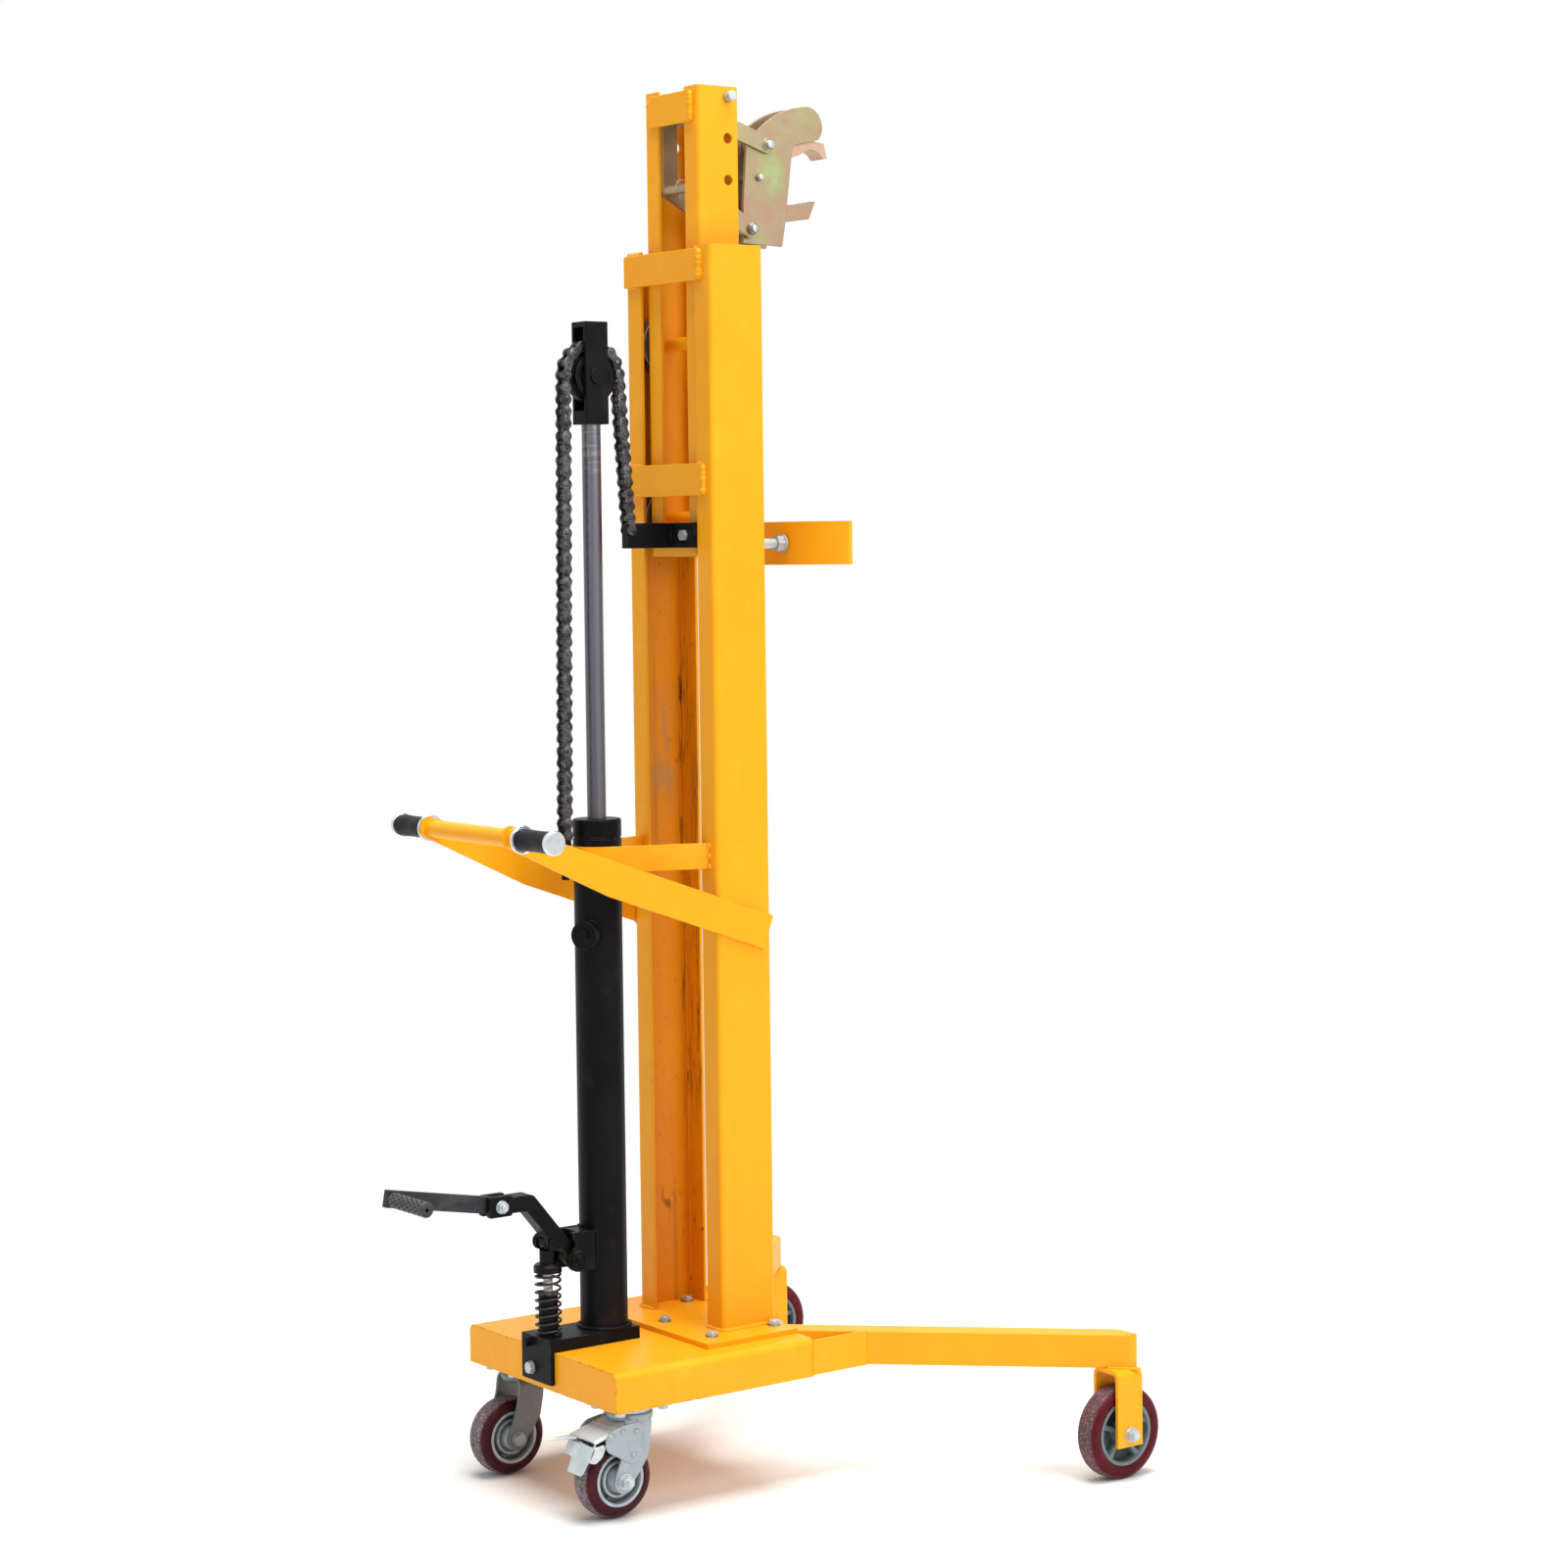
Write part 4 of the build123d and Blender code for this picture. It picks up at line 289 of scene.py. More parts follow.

# The same enamel inside the mast's channels, under a film of roller grease with painted shade in it (a deeper
# orange where the insides lie in shade), and brown smears
webs = ("x", -114.6, 114.6, 0.6)
inside = [webs, mastBand(-47.6, 47.6, 0.6)]
film = [webs, mastBand(-47.6, 45.4, 0.8)]
corner = [webs, mastBand(38.0, 47.0, 3.0), ("z", 560, 1310, 50)]
flangeLine = [("x", -86.0, -79.0, 2.4), mastBand(40.0, 47.6, 0.6), ("z", 600, 960, 40)]
smear = [webs, mastBand(-40.0, 26.0, 10.0), ("z", 1080, 1240, 40)]
shadedGreasyRecipe = dict(yellowRecipe)
shadedGreasyRecipe["layers"] = yellowRecipe["layers"] + [
    # painted shade together with grease: this deeper orange film stands for the shade inside the channels as well
    # as their grease
    coat("#DE880E", (300, 300, 500), (0.0, 0.5), 0.8, rough=0.3, bands=film),
    coat("#9A5A1A", (26, 26, 420), (0.52, 0.7), 0.4, detail=5.0, bands=inside),
    coat("#7A4312", (7, 7, 16), (0.6, 0.74), 0.55, detail=5.0, bands=inside),
    coat("#AE8A5C", (30, 30, 110), (0.4, 0.62), 0.65, detail=5.0, rough=0.6, bands=smear),
    coat("#4E2A0C", (5, 5, 90), (0.5, 0.62), 0.9, detail=6.0, swirl=0.8, rough=0.45, bands=corner),
    coat("#4E2A0C", (5, 5, 60), (0.48, 0.62), 0.85, detail=6.0, swirl=0.8, bands=flangeLine),
    coat("#3A2212", (16, 16, 46), (0.6, 0.7), 0.8, detail=6.0, swirl=1.0, rough=0.4,
         bands=inside + [("z", 262, 430, 40)]),
]
shadedGreasyEnamel = makeFinish("shadedGreasyYellowEnamel", shadedGreasyRecipe)

# Brushed black enamel on machined and welded steel: semi-gloss, dusty on top, rubbed grey at edges
blackRecipe = {
    "base": "#0B0B0D", "rough": 0.38, "round": 1.2,
    "bump": (2.2, 0.05),
    "set": {"Specular IOR Level": 0.08},
    "layers": [
        coat("#141417", (130, 130, 170), (0.4, 0.7), 0.8, rough=0.46),
        coat("#2C2622", (45, 45, 60), (0.55, 0.75), 0.4, detail=5.0, rough=0.6),
        coat("#7C7C82", 5, (0.76, 0.82), 0.5, detail=4.0, rough=0.5),
        coat("#6A6A70", 16, (0.72, 0.9), 0.7, edge=1.4, rough=0.42),
    ],
}
blackEnamel = makeFinish("brushedBlackEnamel", blackRecipe)

# The same black on the foot bar, painted greyer all over: a painted sheen for the light that its top catches
paintedSheenRecipe = dict(blackRecipe, base="#323237", rough=0.42)
paintedSheenRecipe["layers"] = [coat("#46464B", (60, 60, 30), (0.42, 0.66), 0.8, rough=0.5)]
paintedSheenRecipe["layers"] += blackRecipe["layers"][2:]
paintedSheenBlack = makeFinish("blackEnamelPaintedSheen", paintedSheenRecipe)

# Blued spring wire: near black with a soft shine along each coil
springRecipe = dict(blackRecipe, base="#1F1F24", rough=0.34, set={"Specular IOR Level": 0.4})
bluedSpring = makeFinish("bluedSpringWire", springRecipe)

# Ground and hard-chromed piston rod: fine rings from grinding, a brighter band below the block
rodBandBelowBlock = [("z", 1618, 1700, 6)]
rodRecipe = {
    "base": "#6E6D76", "rough": 0.3,
    "bump": ((40, 40, 1.6), 0.02),
    "set": {"Metallic": 0.9},
    "layers": [
        coat("#5A5962", (14, 14, 900), (0.4, 0.62), 0.7, rough=0.38),
        coat("#8A8888", (60, 60, 6), (0.42, 0.6), 0.7, rough=0.36, bands=rodBandBelowBlock),
        coat("#98948E", (5, 5, 60), (0.6, 0.72), 0.6, bands=rodBandBelowBlock),
        coat("#5A4A3C", (8, 8, 22), (0.66, 0.76), 0.4, rough=0.5),
    ],
}
groundRod = makeFinish("hardChromedRod", rodRecipe)

# Pump plunger: bright where it slides, black enamel on the cup and head above the spring
plungerRecipe = {
    "base": "#B4B4B6", "rough": 0.3, "round": 0.8,
    "set": {"Metallic": 0.8},
    "layers": [
        coat("#8E8C8A", (8, 8, 20), (0.45, 0.65), 0.7, rough=0.4),
        coat("#0E0E11", 40, (0.0, 0.1), rough=0.45, bands=[("z", 357.5, 420, 0.4)]),
        coat("#5A5A5E", 12, (0.6, 0.74), 0.6, edge=1.2, rough=0.45),
    ],
}
plungerSteel = makeFinish("halfPaintedPlunger", plungerRecipe)

# Turned steel of rollers and pins, filmed with oil
steelRecipe = {
    "base": "#8C8C90", "rough": 0.34, "round": 0.6,
    "bump": ((1.2, 8, 8), 0.02),
    "set": {"Metallic": 0.95},
    "layers": [
        coat("#6E6C6C", 22, (0.42, 0.66), 0.7, rough=0.45),
        coat("#5B4632", 9, (0.6, 0.75), 0.5, rough=0.6),
    ],
}
turnedSteel = makeFinish("oiledTurnedSteel", steelRecipe)

# Roller chain steel: blued plates with dark oil and dust between the links, bright on the rubbed faces
chainRecipe = {
    "base": "#555354", "rough": 0.38,
    "bump": (1.5, 0.03),
    "set": {"Metallic": 0.85},
    "layers": [
        coat("#282627", 13, (0.42, 0.62), 0.85, rough=0.5),
        coat("#828085", (5, 5, 9), (0.58, 0.7), 0.7, rough=0.28),
        coat("#453732", (8, 8, 30), (0.6, 0.74), 0.6, rough=0.62),
    ],
}
chainSteel = makeFinish("oiledChainSteel", chainRecipe)

# Bright zinc plating on pressed steel: cool grey, cloudy, duller in patches
zincRecipe = {
    "base": "#B8C2C6", "rough": 0.34, "round": 0.8,
    "bump": (4, 0.02),
    "set": {"Metallic": 0.5},
    "layers": [
        coat("#A6B2B8", (44, 44, 60), (0.42, 0.7), 0.7, rough=0.4),
        coat("#C2CCCE", 16, (0.54, 0.74), 0.45, rough=0.28),
        coat("#6F6A62", 10, (0.7, 0.8), 0.4, detail=5.0, rough=0.55),
    ],
}
brightZinc = makeFinish("brightZincPlate", zincRecipe)

# The forks' plating has gone dull and dusty close to the floor
forkRecipe = dict(zincRecipe, base="#9BA5AA", rough=0.4)
forkRecipe["layers"] = [
    coat("#8A959B", (44, 44, 60), (0.42, 0.7), 0.7, rough=0.46),
    coat("#B0BABE", 16, (0.56, 0.74), 0.45, rough=0.32),
    coat("#5F5B55", 10, (0.68, 0.8), 0.4, detail=5.0, rough=0.6),
]
dullZinc = makeFinish("dulledZincPlate", forkRecipe)

# Paler and flatter on the brake's tread, its paler colour partly a painted reflection of the sky on the
# upturned tread; darker on the left fork, a painted shade for the shadow it stands in under the tray
treadRecipe = dict(zincRecipe, base="#C9D0D2", set={"Metallic": 0.15})
paleZinc = makeFinish("paleZincPlate", treadRecipe)
paintedShadeForkRecipe = dict(forkRecipe, base="#6F7473")
cloud, gleam, dirt = forkRecipe["layers"]
paintedShadeForkRecipe["layers"] = [dict(cloud, color="#5F6463"), dict(gleam, color="#83898A"), dirt]
paintedShadeZinc = makeFinish("zincPlatePaintedShade", paintedShadeForkRecipe)

# Yellow-passivated zinc: straw metal that drifts through pink and green
yellowZincRecipe = {
    "base": "#9E8E70", "rough": 0.38, "round": 1.0,
    "bump": (3, 0.03),
    "set": {"Metallic": 0.75},
    "layers": [
        coat("#A58270", (60, 60, 50), (0.34, 0.74), 0.75, offset=(3, 5, 1), swirl=0.4),
        coat("#A09D6E", (50, 50, 44), (0.36, 0.76), 0.75, offset=(1, 2, 6), swirl=0.4),
        coat("#97B678", (40, 34, 34), (0.28, 0.56), 0.8, offset=(7, 1, 4),
             bands=[mastBand(122, 156, 14), ("z", 2076, 2122, 16)]),
        coat("#AC7C70", (40, 34, 34), (0.34, 0.62), 0.6, offset=(2, 8, 3), bands=[("z", 2004, 2062, 16)]),
        coat("#8F8264", 12, (0.56, 0.74), 0.35, rough=0.46),
        coat("#5E4A34", 9, (0.72, 0.82), 0.45, rough=0.55),
    ],
}
yellowZinc = makeFinish("yellowPassivatedZinc", yellowZincRecipe)

# The hook's plating is pinker
hookRecipe = dict(yellowZincRecipe, base="#C2A186")
hookRecipe["layers"] = [dict(yellowZincRecipe["layers"][0],
                             color="#C8978A")] + yellowZincRecipe["layers"][-2:]
pinkZinc = makeFinish("pinkPassivatedZinc", hookRecipe)

# Moulded black rubber of the grips: soft sheen, paler where it is handled
rubberRecipe = {
    "base": "#121215", "rough": 0.5,
    "bump": (0.9, 0.06),
    "set": {"Specular IOR Level": 0.14},
    "layers": [
        coat("#1F1F24", 26, (0.42, 0.68), 0.8, rough=0.42),
        coat("#4A463F", 7, (0.62, 0.76), 0.4, rough=0.66),
    ],
}
gripRubber = makeFinish("mouldedGripRubber", rubberRecipe)

# The foot grip's rubber is greyer, scuffed by soles
soleRecipe = {
    "base": "#29292D", "rough": 0.5,
    "bump": (0.9, 0.06),
    "set": {"Specular IOR Level": 0.35},
    "layers": [
        coat("#3A3A3E", 14, (0.42, 0.68), 0.8, rough=0.42),
        coat("#5A564F", 6, (0.58, 0.72), 0.6, rough=0.66),
        coat("#5C5858", 10, (0.3, 0.5), 0.85, rough=0.6, mark="raised"),
    ],
}
soleRubber = makeFinish("scuffedFootRubber", soleRecipe)

# Decorative chrome on turned trim: near mirror with a faint haze and finger smears
chromeRecipe = {
    "base": "#D9DBDD", "rough": 0.1,
    "set": {"Metallic": 1.0},
    "layers": [
        coat("#C3C6CA", 14, (0.45, 0.7), 0.7, rough=0.22),
        coat("#8F8D8A", 5, (0.66, 0.78), 0.5, rough=0.4),
    ],
}
chromePlate = makeFinish("polishedChrome", chromeRecipe)

# Cast polyurethane tread: burgundy, waxy, its running band scuffed grey-brown with floor dust
tyreRecipe = {
    "base": "#3A0C16", "rough": 0.34,
    "bump": (2.4, 0.05),
    "set": {"Specular IOR Level": 0.16},
    "layers": [
        coat("#521722", 40, (0.46, 0.7), 0.6),
        coat("#260D14", 12, (0.52, 0.72), 0.5, rough=0.45),
        coat("#685C5F", 14, (0.1, 0.5), 0.9, detail=5.0, rough=0.72, mark="tread"),
        coat("#A0979A", 3.4, (0.5, 0.62), 0.75, detail=3.0, rough=0.8, mark="tread"),
    ],
}
castTyre = makeFinish("castPolyurethane", tyreRecipe)

# Redder and cleaner on the front wheels
redRecipe = dict(tyreRecipe, base="#4F1019", set={"Specular IOR Level": 0.1})
cloud, shade, *scuffs = tyreRecipe["layers"]
redRecipe["layers"] = [dict(cloud, color="#611A23"), dict(shade, color="#430E16")] + scuffs
redTyre = makeFinish("cleanPolyurethane", redRecipe)

# Wheel cores: die-cast grey at the rear, moulded grey-green nylon in front
rimRecipe = {
    "base": "#B4BCC2", "rough": 0.4, "set": {"Metallic": 0.3},
    "bump": (2, 0.03),
    "layers": [
        coat("#99A2A9", 18, (0.42, 0.66), 0.8, rough=0.48),
        coat("#4A4A4A", 7, (0.62, 0.76), 0.5, rough=0.6),
        # painted shade: the rim's recess darkened, more so the deeper it lies
        coat("#424A49", 12, (0.1, 0.45), 0.8, rough=0.62, mark="recessShade"),
    ],
}
castRim = makeFinish("dieCastRim", rimRecipe)
nylonRecipe = {
    "base": "#5E6C70", "rough": 0.46,
    "bump": (1.8, 0.04),
    "layers": [
        coat("#6E7E81", 24, (0.42, 0.66), 0.7),
        coat("#3A3F3E", 8, (0.6, 0.74), 0.45, rough=0.62),
        # painted shade: the core's recess darkened, more so the deeper it lies
        coat("#1E2A28", 12, (0.1, 0.45), 0.8, rough=0.6, mark="recessShade"),
    ],
}
nylonCore = makeFinish("mouldedNylonCore", nylonRecipe)

# Finish for each kind of surface, and for the nodes that differ from their kind
slotFinish = {"yellow_paint": yellowEnamel, "black_paint": blackEnamel, "ground_steel": turnedSteel,
              "oiled_chain": chainSteel, "bright_zinc": brightZinc, "yellow_zinc": yellowZinc,
              "grip_rubber": gripRubber, "bright_chrome": chromePlate, "wheel": castTyre}
nodeFinish = {"piston_rod": groundRod, "pump_plunger": plungerSteel, "height_pin": brightZinc,
              "release_valve": blackEnamel, "pedal_bar": paintedSheenBlack, "outer_channel_right": shadedGreasyEnamel,
              "outer_channel_left": shadedGreasyEnamel, "base_tray": chippedEnamel, "upper_jaw": pinkZinc}
for part in frame["record"]["subparts"]:
    mesh = nodes[part["node"]].data
    mesh.materials.clear()
    mesh.materials.append(nodeFinish.get(part["node"], slotFinish[part["material_slot"]]))
print("finishes on the frame:", len(bpy.data.materials))

# Rear caster wheels: round polyurethane tyre on a stepped die-cast core
rearWheel = {"radius": 62.5, "half": 25.0, "side": 46.5, "crown": 3.0, "lineAt": 50.5, "lineWide": 1.1,
             "lineDeep": 0.7, "bolts": 6, "boltCircle": 32.6, "boltSeat": 8.8, "boltFlats": 5.5,
             "boltHead": 3.4, "steps": 96, "treadFrom": 58.6, "treadFade": 1.4, "shadeFrom": 17.0,
             "shadeFade": 4.0, "hub": 19.6}
rearLip = [(43.0, 22.4), (43.6, 23.9), (44.6, 24.7)]
rearRimProfile = np.array([(43.0, 22.4), (42.6, 23.4), (41.4, 24.0), (39.0, 24.0), (37.8, 23.3),
                           (37.2, 21.6), (36.4, 12.0), (35.4, 9.6), (34.0, 9.0), (31.0, 9.0), (29.9, 9.8),
                           (29.3, 11.6), (29.0, 17.6), (28.2, 18.8), (26.4, 19.2), (24.9, 18.4),
                           (23.6, 14.8), (22.4, 13.6), (20.6, 13.6), (19.8, 15.0), (19.4, 28.4),
                           (18.6, 30.1), (16.8, 30.7), (14.6, 30.4), (13.8, 29.2), (11.6, 29.0),
                           (10.6, 30.3), (8.6, 30.8), (6.2, 30.8), (5.4, 30.2)])


def bothSides(half):
    # a half profile (radius, along) carried on to its mirror image, as one loop
    return np.concatenate([half, half[::-1] * (1, -1)]).T


def hexHead(flats, height, centre, axis, way=1, steps=48):
    # six-sided head: r = flats / 2 / cos(angle from the nearest flat), cut by a chamfer cone at the top
    turn = np.linspace(0, fullTurn, steps, endpoint=False)
    corner = flats / 2 / np.cos((turn + fullTurn / 12) % (fullTurn / 6) - fullTurn / 12)
    rise = np.array([0, 0, 0.82, 0.9, 0.96, 1.0, 1.0]) * height
    cone = flats / 2 * 0.97 + (height - rise) * 1.75
    radius = np.minimum(corner, cone[:, None])
    radius[0] *= 0.98  # the rims of both caps are drawn in
    radius[-1] *= 0.93
    return turned((radius, rise * way), centre, axis, steps)


def fromMiddle(surface, centre):
    # each point's distance from the wheel's axle and from its middle plane, in mm
    away = np.abs(surface[0] - centre) / mm
    return np.hypot(away[:, 1], away[:, 2]), away[:, 0]


def shadeInRecess(surface, centre, size):
    # painted shade in the recess: darker the deeper the point lies, none on the hub
    reach, out = fromMiddle(surface, centre)
    return np.clip((size["shadeFrom"] - out) / size["shadeFade"], 0, 1) * (reach > size["hub"])


def scuffOn(tyre, centre, size):
    # the running band, fading in over a short way out from the axle
    reach = fromMiddle(tyre, centre)[0]
    return np.clip((reach - size["treadFrom"]) / size["treadFade"], 0, 1)


def rearWheelPieces(side, centre):
    size, body = rearWheel, "caster_wheel_" + side.lower()
    # side wall to crown: a quarter of an ellipse, with a moulded line round the side
    arc = np.linspace(0, math.pi / 2, 24)
    radius = size["side"] + (size["radius"] - size["side"]) * np.sin(arc)
    along = size["crown"] + (size["half"] - size["crown"]) * np.cos(arc)
    along = along - size["lineDeep"] * np.exp(-((radius - size["lineAt"]) / size["lineWide"]) ** 2)
    half = np.concatenate([rearLip, np.stack([radius, along], -1), [(size["radius"] - 0.2, 0.5)]])
    tyre = turned(bothSides(half), centre, "x", size["steps"], loop=True)
    makePiece("rearTyre" + side, [tyre], castTyre, body, ["rear_wheel_" + side.lower()],
              marks={"tread": scuffOn(tyre, centre, size)})
    rim = [turned(bothSides(rearRimProfile), centre, "x", size["steps"], loop=True)]
    turn = fullTurn * np.arange(size["bolts"]) / size["bolts"]
    for y, z in np.stack([np.cos(turn), np.sin(turn)], -1) * size["boltCircle"]:
        for way in (-1, 1):
            seat = centre + np.array([way * size["boltSeat"], y, z]) * mm
            rim.append(hexHead(size["boltFlats"], size["boltHead"], seat, "x", way, 24))
    recessShade = shadeInRecess(joined(rim), centre, size)
    makePiece("rearRim" + side, rim, castRim, body, marks={"recessShade": recessShade})


for sideName in ("Right", "Left"):
    rearWheelPieces(sideName, jointPoint("caster_roll_" + sideName.lower()))

# Front wheels: flat polyurethane tyre on a five-spoked nylon core
frontWheel = {"spokes": 5, "spokeFrom": 17.0, "spokeTo": 47.5, "spokeWide": 15.6, "spokeThick": 5.6,
              "spokeWaist": 0.18, "spokeTurn": 0.3, "steps": 112, "treadFrom": 71.8, "treadFade": 1.6,
              "treadCover": 0.5, "shadeFrom": 14.0, "shadeFade": 6.0, "hub": 20.5}
frontTyreProfile = np.array([(53.0, 18.2), (53.6, 18.9), (54.8, 19.4), (56.6, 19.5), (57.4, 19.9),
                             (60.5, 20.0), (65.8, 20.0), (66.8, 19.5), (69.8, 18.2), (72.0, 16.4),
                             (73.6, 14.2), (74.5, 12.0), (74.9, 9.0), (74.98, 5.0), (74.98, 1.0),
                             (74.8, 0.4)])
frontCoreProfile = np.array([(53.0, 18.0), (52.4, 18.7), (51.0, 19.0), (48.8, 19.0), (47.5, 18.5),
                             (46.7, 17.0), (45.6, 5.0), (44.2, 2.8), (40.0, 2.5), (24.0, 2.5), (21.2, 3.2),
                             (20.0, 5.0), (19.2, 18.8), (18.3, 20.4), (16.6, 20.9), (11.0, 20.9),
                             (10.0, 20.0), (7.8, 20.0), (7.0, 20.7), (6.4, 20.2)])


def frontWheelPieces(side, centre):
    size, body = frontWheel, "leg_wheel_" + side.lower()
    tyre = turned(bothSides(frontTyreProfile), centre, "x", size["steps"], loop=True)
    makePiece("frontTyre" + side, [tyre], redTyre, body, ["front_wheel_" + side.lower()],
              marks={"tread": size["treadCover"] * scuffOn(tyre, centre, size)})
    core = [turned(bothSides(frontCoreProfile), centre, "x", size["steps"], loop=True)]
    # spoke: a rounded bar from hub to rim, section |a|^4 + |b|^4 = 1, waisted half way
    run = np.linspace(size["spokeFrom"], size["spokeTo"], 9)
    waist = 1 - np.sin(np.pi * (run - run[0]) / (run[-1] - run[0])) * size["spokeWaist"]
    circle = ringSection(1.0, 24)
    rounded = np.sign(circle) * np.abs(circle) ** 0.5
    section = rounded * np.stack([size["spokeWide"] * waist, size["spokeThick"] * waist], -1)[:, None] * mm
    for angle in np.arange(size["spokes"]) * fullTurn / size["spokes"] + size["spokeTurn"]:
        way = np.array([0, math.cos(angle), math.sin(angle)])
        across = np.array([0, -math.sin(angle), math.cos(angle)])
        core.append(swept(centre + run[:, None] * way * mm, section, up=across))
    # the painted shade lies on the core alone, not on its spokes
    recessShade = np.zeros(len(joined(core)[0]))
    recessShade[:len(core[0][0])] = shadeInRecess(core[0], centre, size)
    makePiece("frontCore" + side, core, nylonCore, body, marks={"recessShade": recessShade})


for sideName in ("Right", "Left"):
    frontWheelPieces(sideName, jointPoint("front_roll_" + sideName.lower()))
print("wheels done")

# Lift chain: waisted plates, rollers and riveted pins between joints on two runs and a wrap
chain = {"pitch": 19.05, "plate": 17.2, "waist": 11.6, "thick": 2.3, "edge": 0.4, "inside": 12.6,
         "play": 0.25, "roller": 5.95, "rollerEase": 0.5, "rollerPlay": 0.1, "pin": 2.97, "pinHead": 1.5,
         "rear": 38, "wrap": 8, "front": 13, "rearLean": 0.8, "frontLean": 4.3}


def linkPlate(start):
    # half height h(s): a circle round each joint, and between them
    # R - (R - waist) / 2 * (1 + cos(2 pi s / pitch))
    pitch, large, small = chain["pitch"], chain["plate"] / 2, chain["waist"] / 2
    arc = np.linspace(math.pi / 2, -math.pi / 2, 9)
    end = np.stack([pitch / 2 + large * np.cos(arc), large * np.sin(arc)], -1)
    s = np.linspace(pitch / 2, -pitch / 2, 9)[1:-1]
    h = large - (large - small) / 2 * (1 + np.cos(fullTurn * s / pitch))
    half = np.concatenate([end, np.stack([s, -h], -1)])
    outline = np.concatenate([half, -half])
    edge, thick = chain["edge"], chain["thick"]
    eased = 1 - edge / small
    rings = [(start, eased), (start + edge, 1), (start + thick - edge, 1), (start + thick, eased)]
    points = np.stack([np.column_stack([np.full(len(outline), x), outline * scale]) for x, scale in rings])
    points[..., 1] += pitch / 2
    return gridSurface(points * mm, closeV=True, caps=True)


def linkShape(outer):
    inner = chain["inside"] / 2
    start = inner + chain["thick"] + chain["play"] if outer else inner
    shapes = [linkPlate(start), mirroredX(linkPlate(start))]
    for along in (0, chain["pitch"]):
        centre = np.array([0, along, 0]) * mm
        if outer:
            reach, r = start + chain["thick"] + chain["pinHead"], chain["pin"]
            profile = ([r * 0.55, r * 0.9, r, r, r * 0.9, r * 0.55],
                       [-reach, -reach + 0.35, -reach + 0.9, reach - 0.9, reach - 0.35, reach])
        else:
            r, reach, ease = chain["roller"], inner - chain["rollerPlay"], chain["rollerEase"]
            profile = ([r - ease, r, r, r - ease], [-reach, -reach + ease, reach - ease, reach])
        shapes.append(turned(profile, centre, "x", 16))
    return joined(shapes)


def placedLinks(shape, starts, ways):
    # copies of one link: joint + along * way + across * (way turned a quarter), in the chain's plane
    points, quads, rims = shape
    across = np.stack([np.zeros(len(ways)), -ways[:, 2], ways[:, 1]], -1)
    placed = starts[:, None] + points[None, :, 1:2] * ways[:, None] + points[None, :, 2:] * across[:, None]
    placed[..., 0] += points[None, :, 0]
    step = (np.arange(len(starts)) * len(points))[:, None, None]
    rims = [(rim[None] + step).reshape(-1, rim.shape[1]) for rim in rims]
    return placed.reshape(-1, 3), (quads[None] + step).reshape(-1, 4), rims


outerLink, innerLink = linkShape(True), linkShape(False)
sheaveCentre = jointPoint("sheave_turn")
rearTilt, frontTilt = math.radians(chain["rearLean"]), math.radians(chain["frontLean"])
wrapTurn = np.linspace(rearTilt, math.pi - frontTilt, chain["wrap"] + 1)
wrapRadius = chain["pitch"] * mm / 2 / math.sin((wrapTurn[1] - wrapTurn[0]) / 2)
wrapJoints = sheaveCentre + wrapRadius * np.stack([0 * wrapTurn, -np.cos(wrapTurn), np.sin(wrapTurn)], -1)
rearWay = np.array([0, math.sin(rearTilt), math.cos(rearTilt)])
frontWay = np.array([0, math.sin(frontTilt), -math.cos(frontTilt)])
rearJoints = wrapJoints[0] - np.arange(chain["rear"], -1, -1)[:, None] * chain["pitch"] * mm * rearWay
frontJoints = wrapJoints[-1] + np.arange(chain["front"] + 1)[:, None] * chain["pitch"] * mm * frontWay


def chainLinks(jointLine, first):
    # outer and inner links by turns, one from each joint to the next
    ways = np.diff(jointLine, axis=0)
    ways /= np.linalg.norm(ways, axis=1, keepdims=True)
    order = (np.arange(len(ways)) + first) % 2
    made = []
    for shape, kind in ((outerLink, 0), (innerLink, 1)):
        if (order == kind).any():
            made.append(placedLinks(shape, jointLine[:-1][order == kind], ways[order == kind]))
    return made


def stretchEnds(low, high, start, end):
    # places for a blend whose smooth step equals low at start and high at end: t solves 3t^2 - 2t^3 = share
    share = np.linspace(0, 1, 4001)
    t0, t1 = np.interp([low, high], 3 * share ** 2 - 2 * share ** 3, share)
    run = (end - start) / (t1 - t0)
    return start - run * t0, start + run * (1 - t0)


def chainRun(name, jointLine, first, sizes, bodies, node):
    # a straight run in several lengths, each made as its own piece
    at, whole = 0, len(jointLine) - 1
    for number, count in enumerate(sizes):
        part = jointLine[at:at + count + 1]
        bend = stretchEnds(at / whole, (at + count) / whole, part[0], part[-1])
        makePiece(f"{name}{number + 1}", chainLinks(part, first + at), chainSteel, bodies,
                  [node], bend=bend)
        at += count


makePiece("chainWrap", chainLinks(wrapJoints, chain["rear"]), chainSteel, "lift_rod",
          ["chain_wrap"])
chainRun("chainRear", rearJoints, 0, (1, 1, 2, 4, 6, 10, 6, 4, 2, 1, 1), ("truck", "lift_rod"), "chain_rear")
chainRun("chainFront", frontJoints, chain["rear"] + chain["wrap"], (1, 1, 2, 5, 2, 1, 1),
         ("lift_rod", "inner_mast"), "chain_front")
print("chain done")


def cornersOf(node):
    # low and high corner of a node's box, in metres
    return (np.array(corner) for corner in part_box(node))


# Return spring: round wire, closed end turns
springLow, springHigh = cornersOf("pump_spring")
spring = {"wire": 4.2, "turns": 8.6, "closed": 0.9, "closedRise": 1.04, "steps": 40, "sides": 14,
          "radius": 19.6}


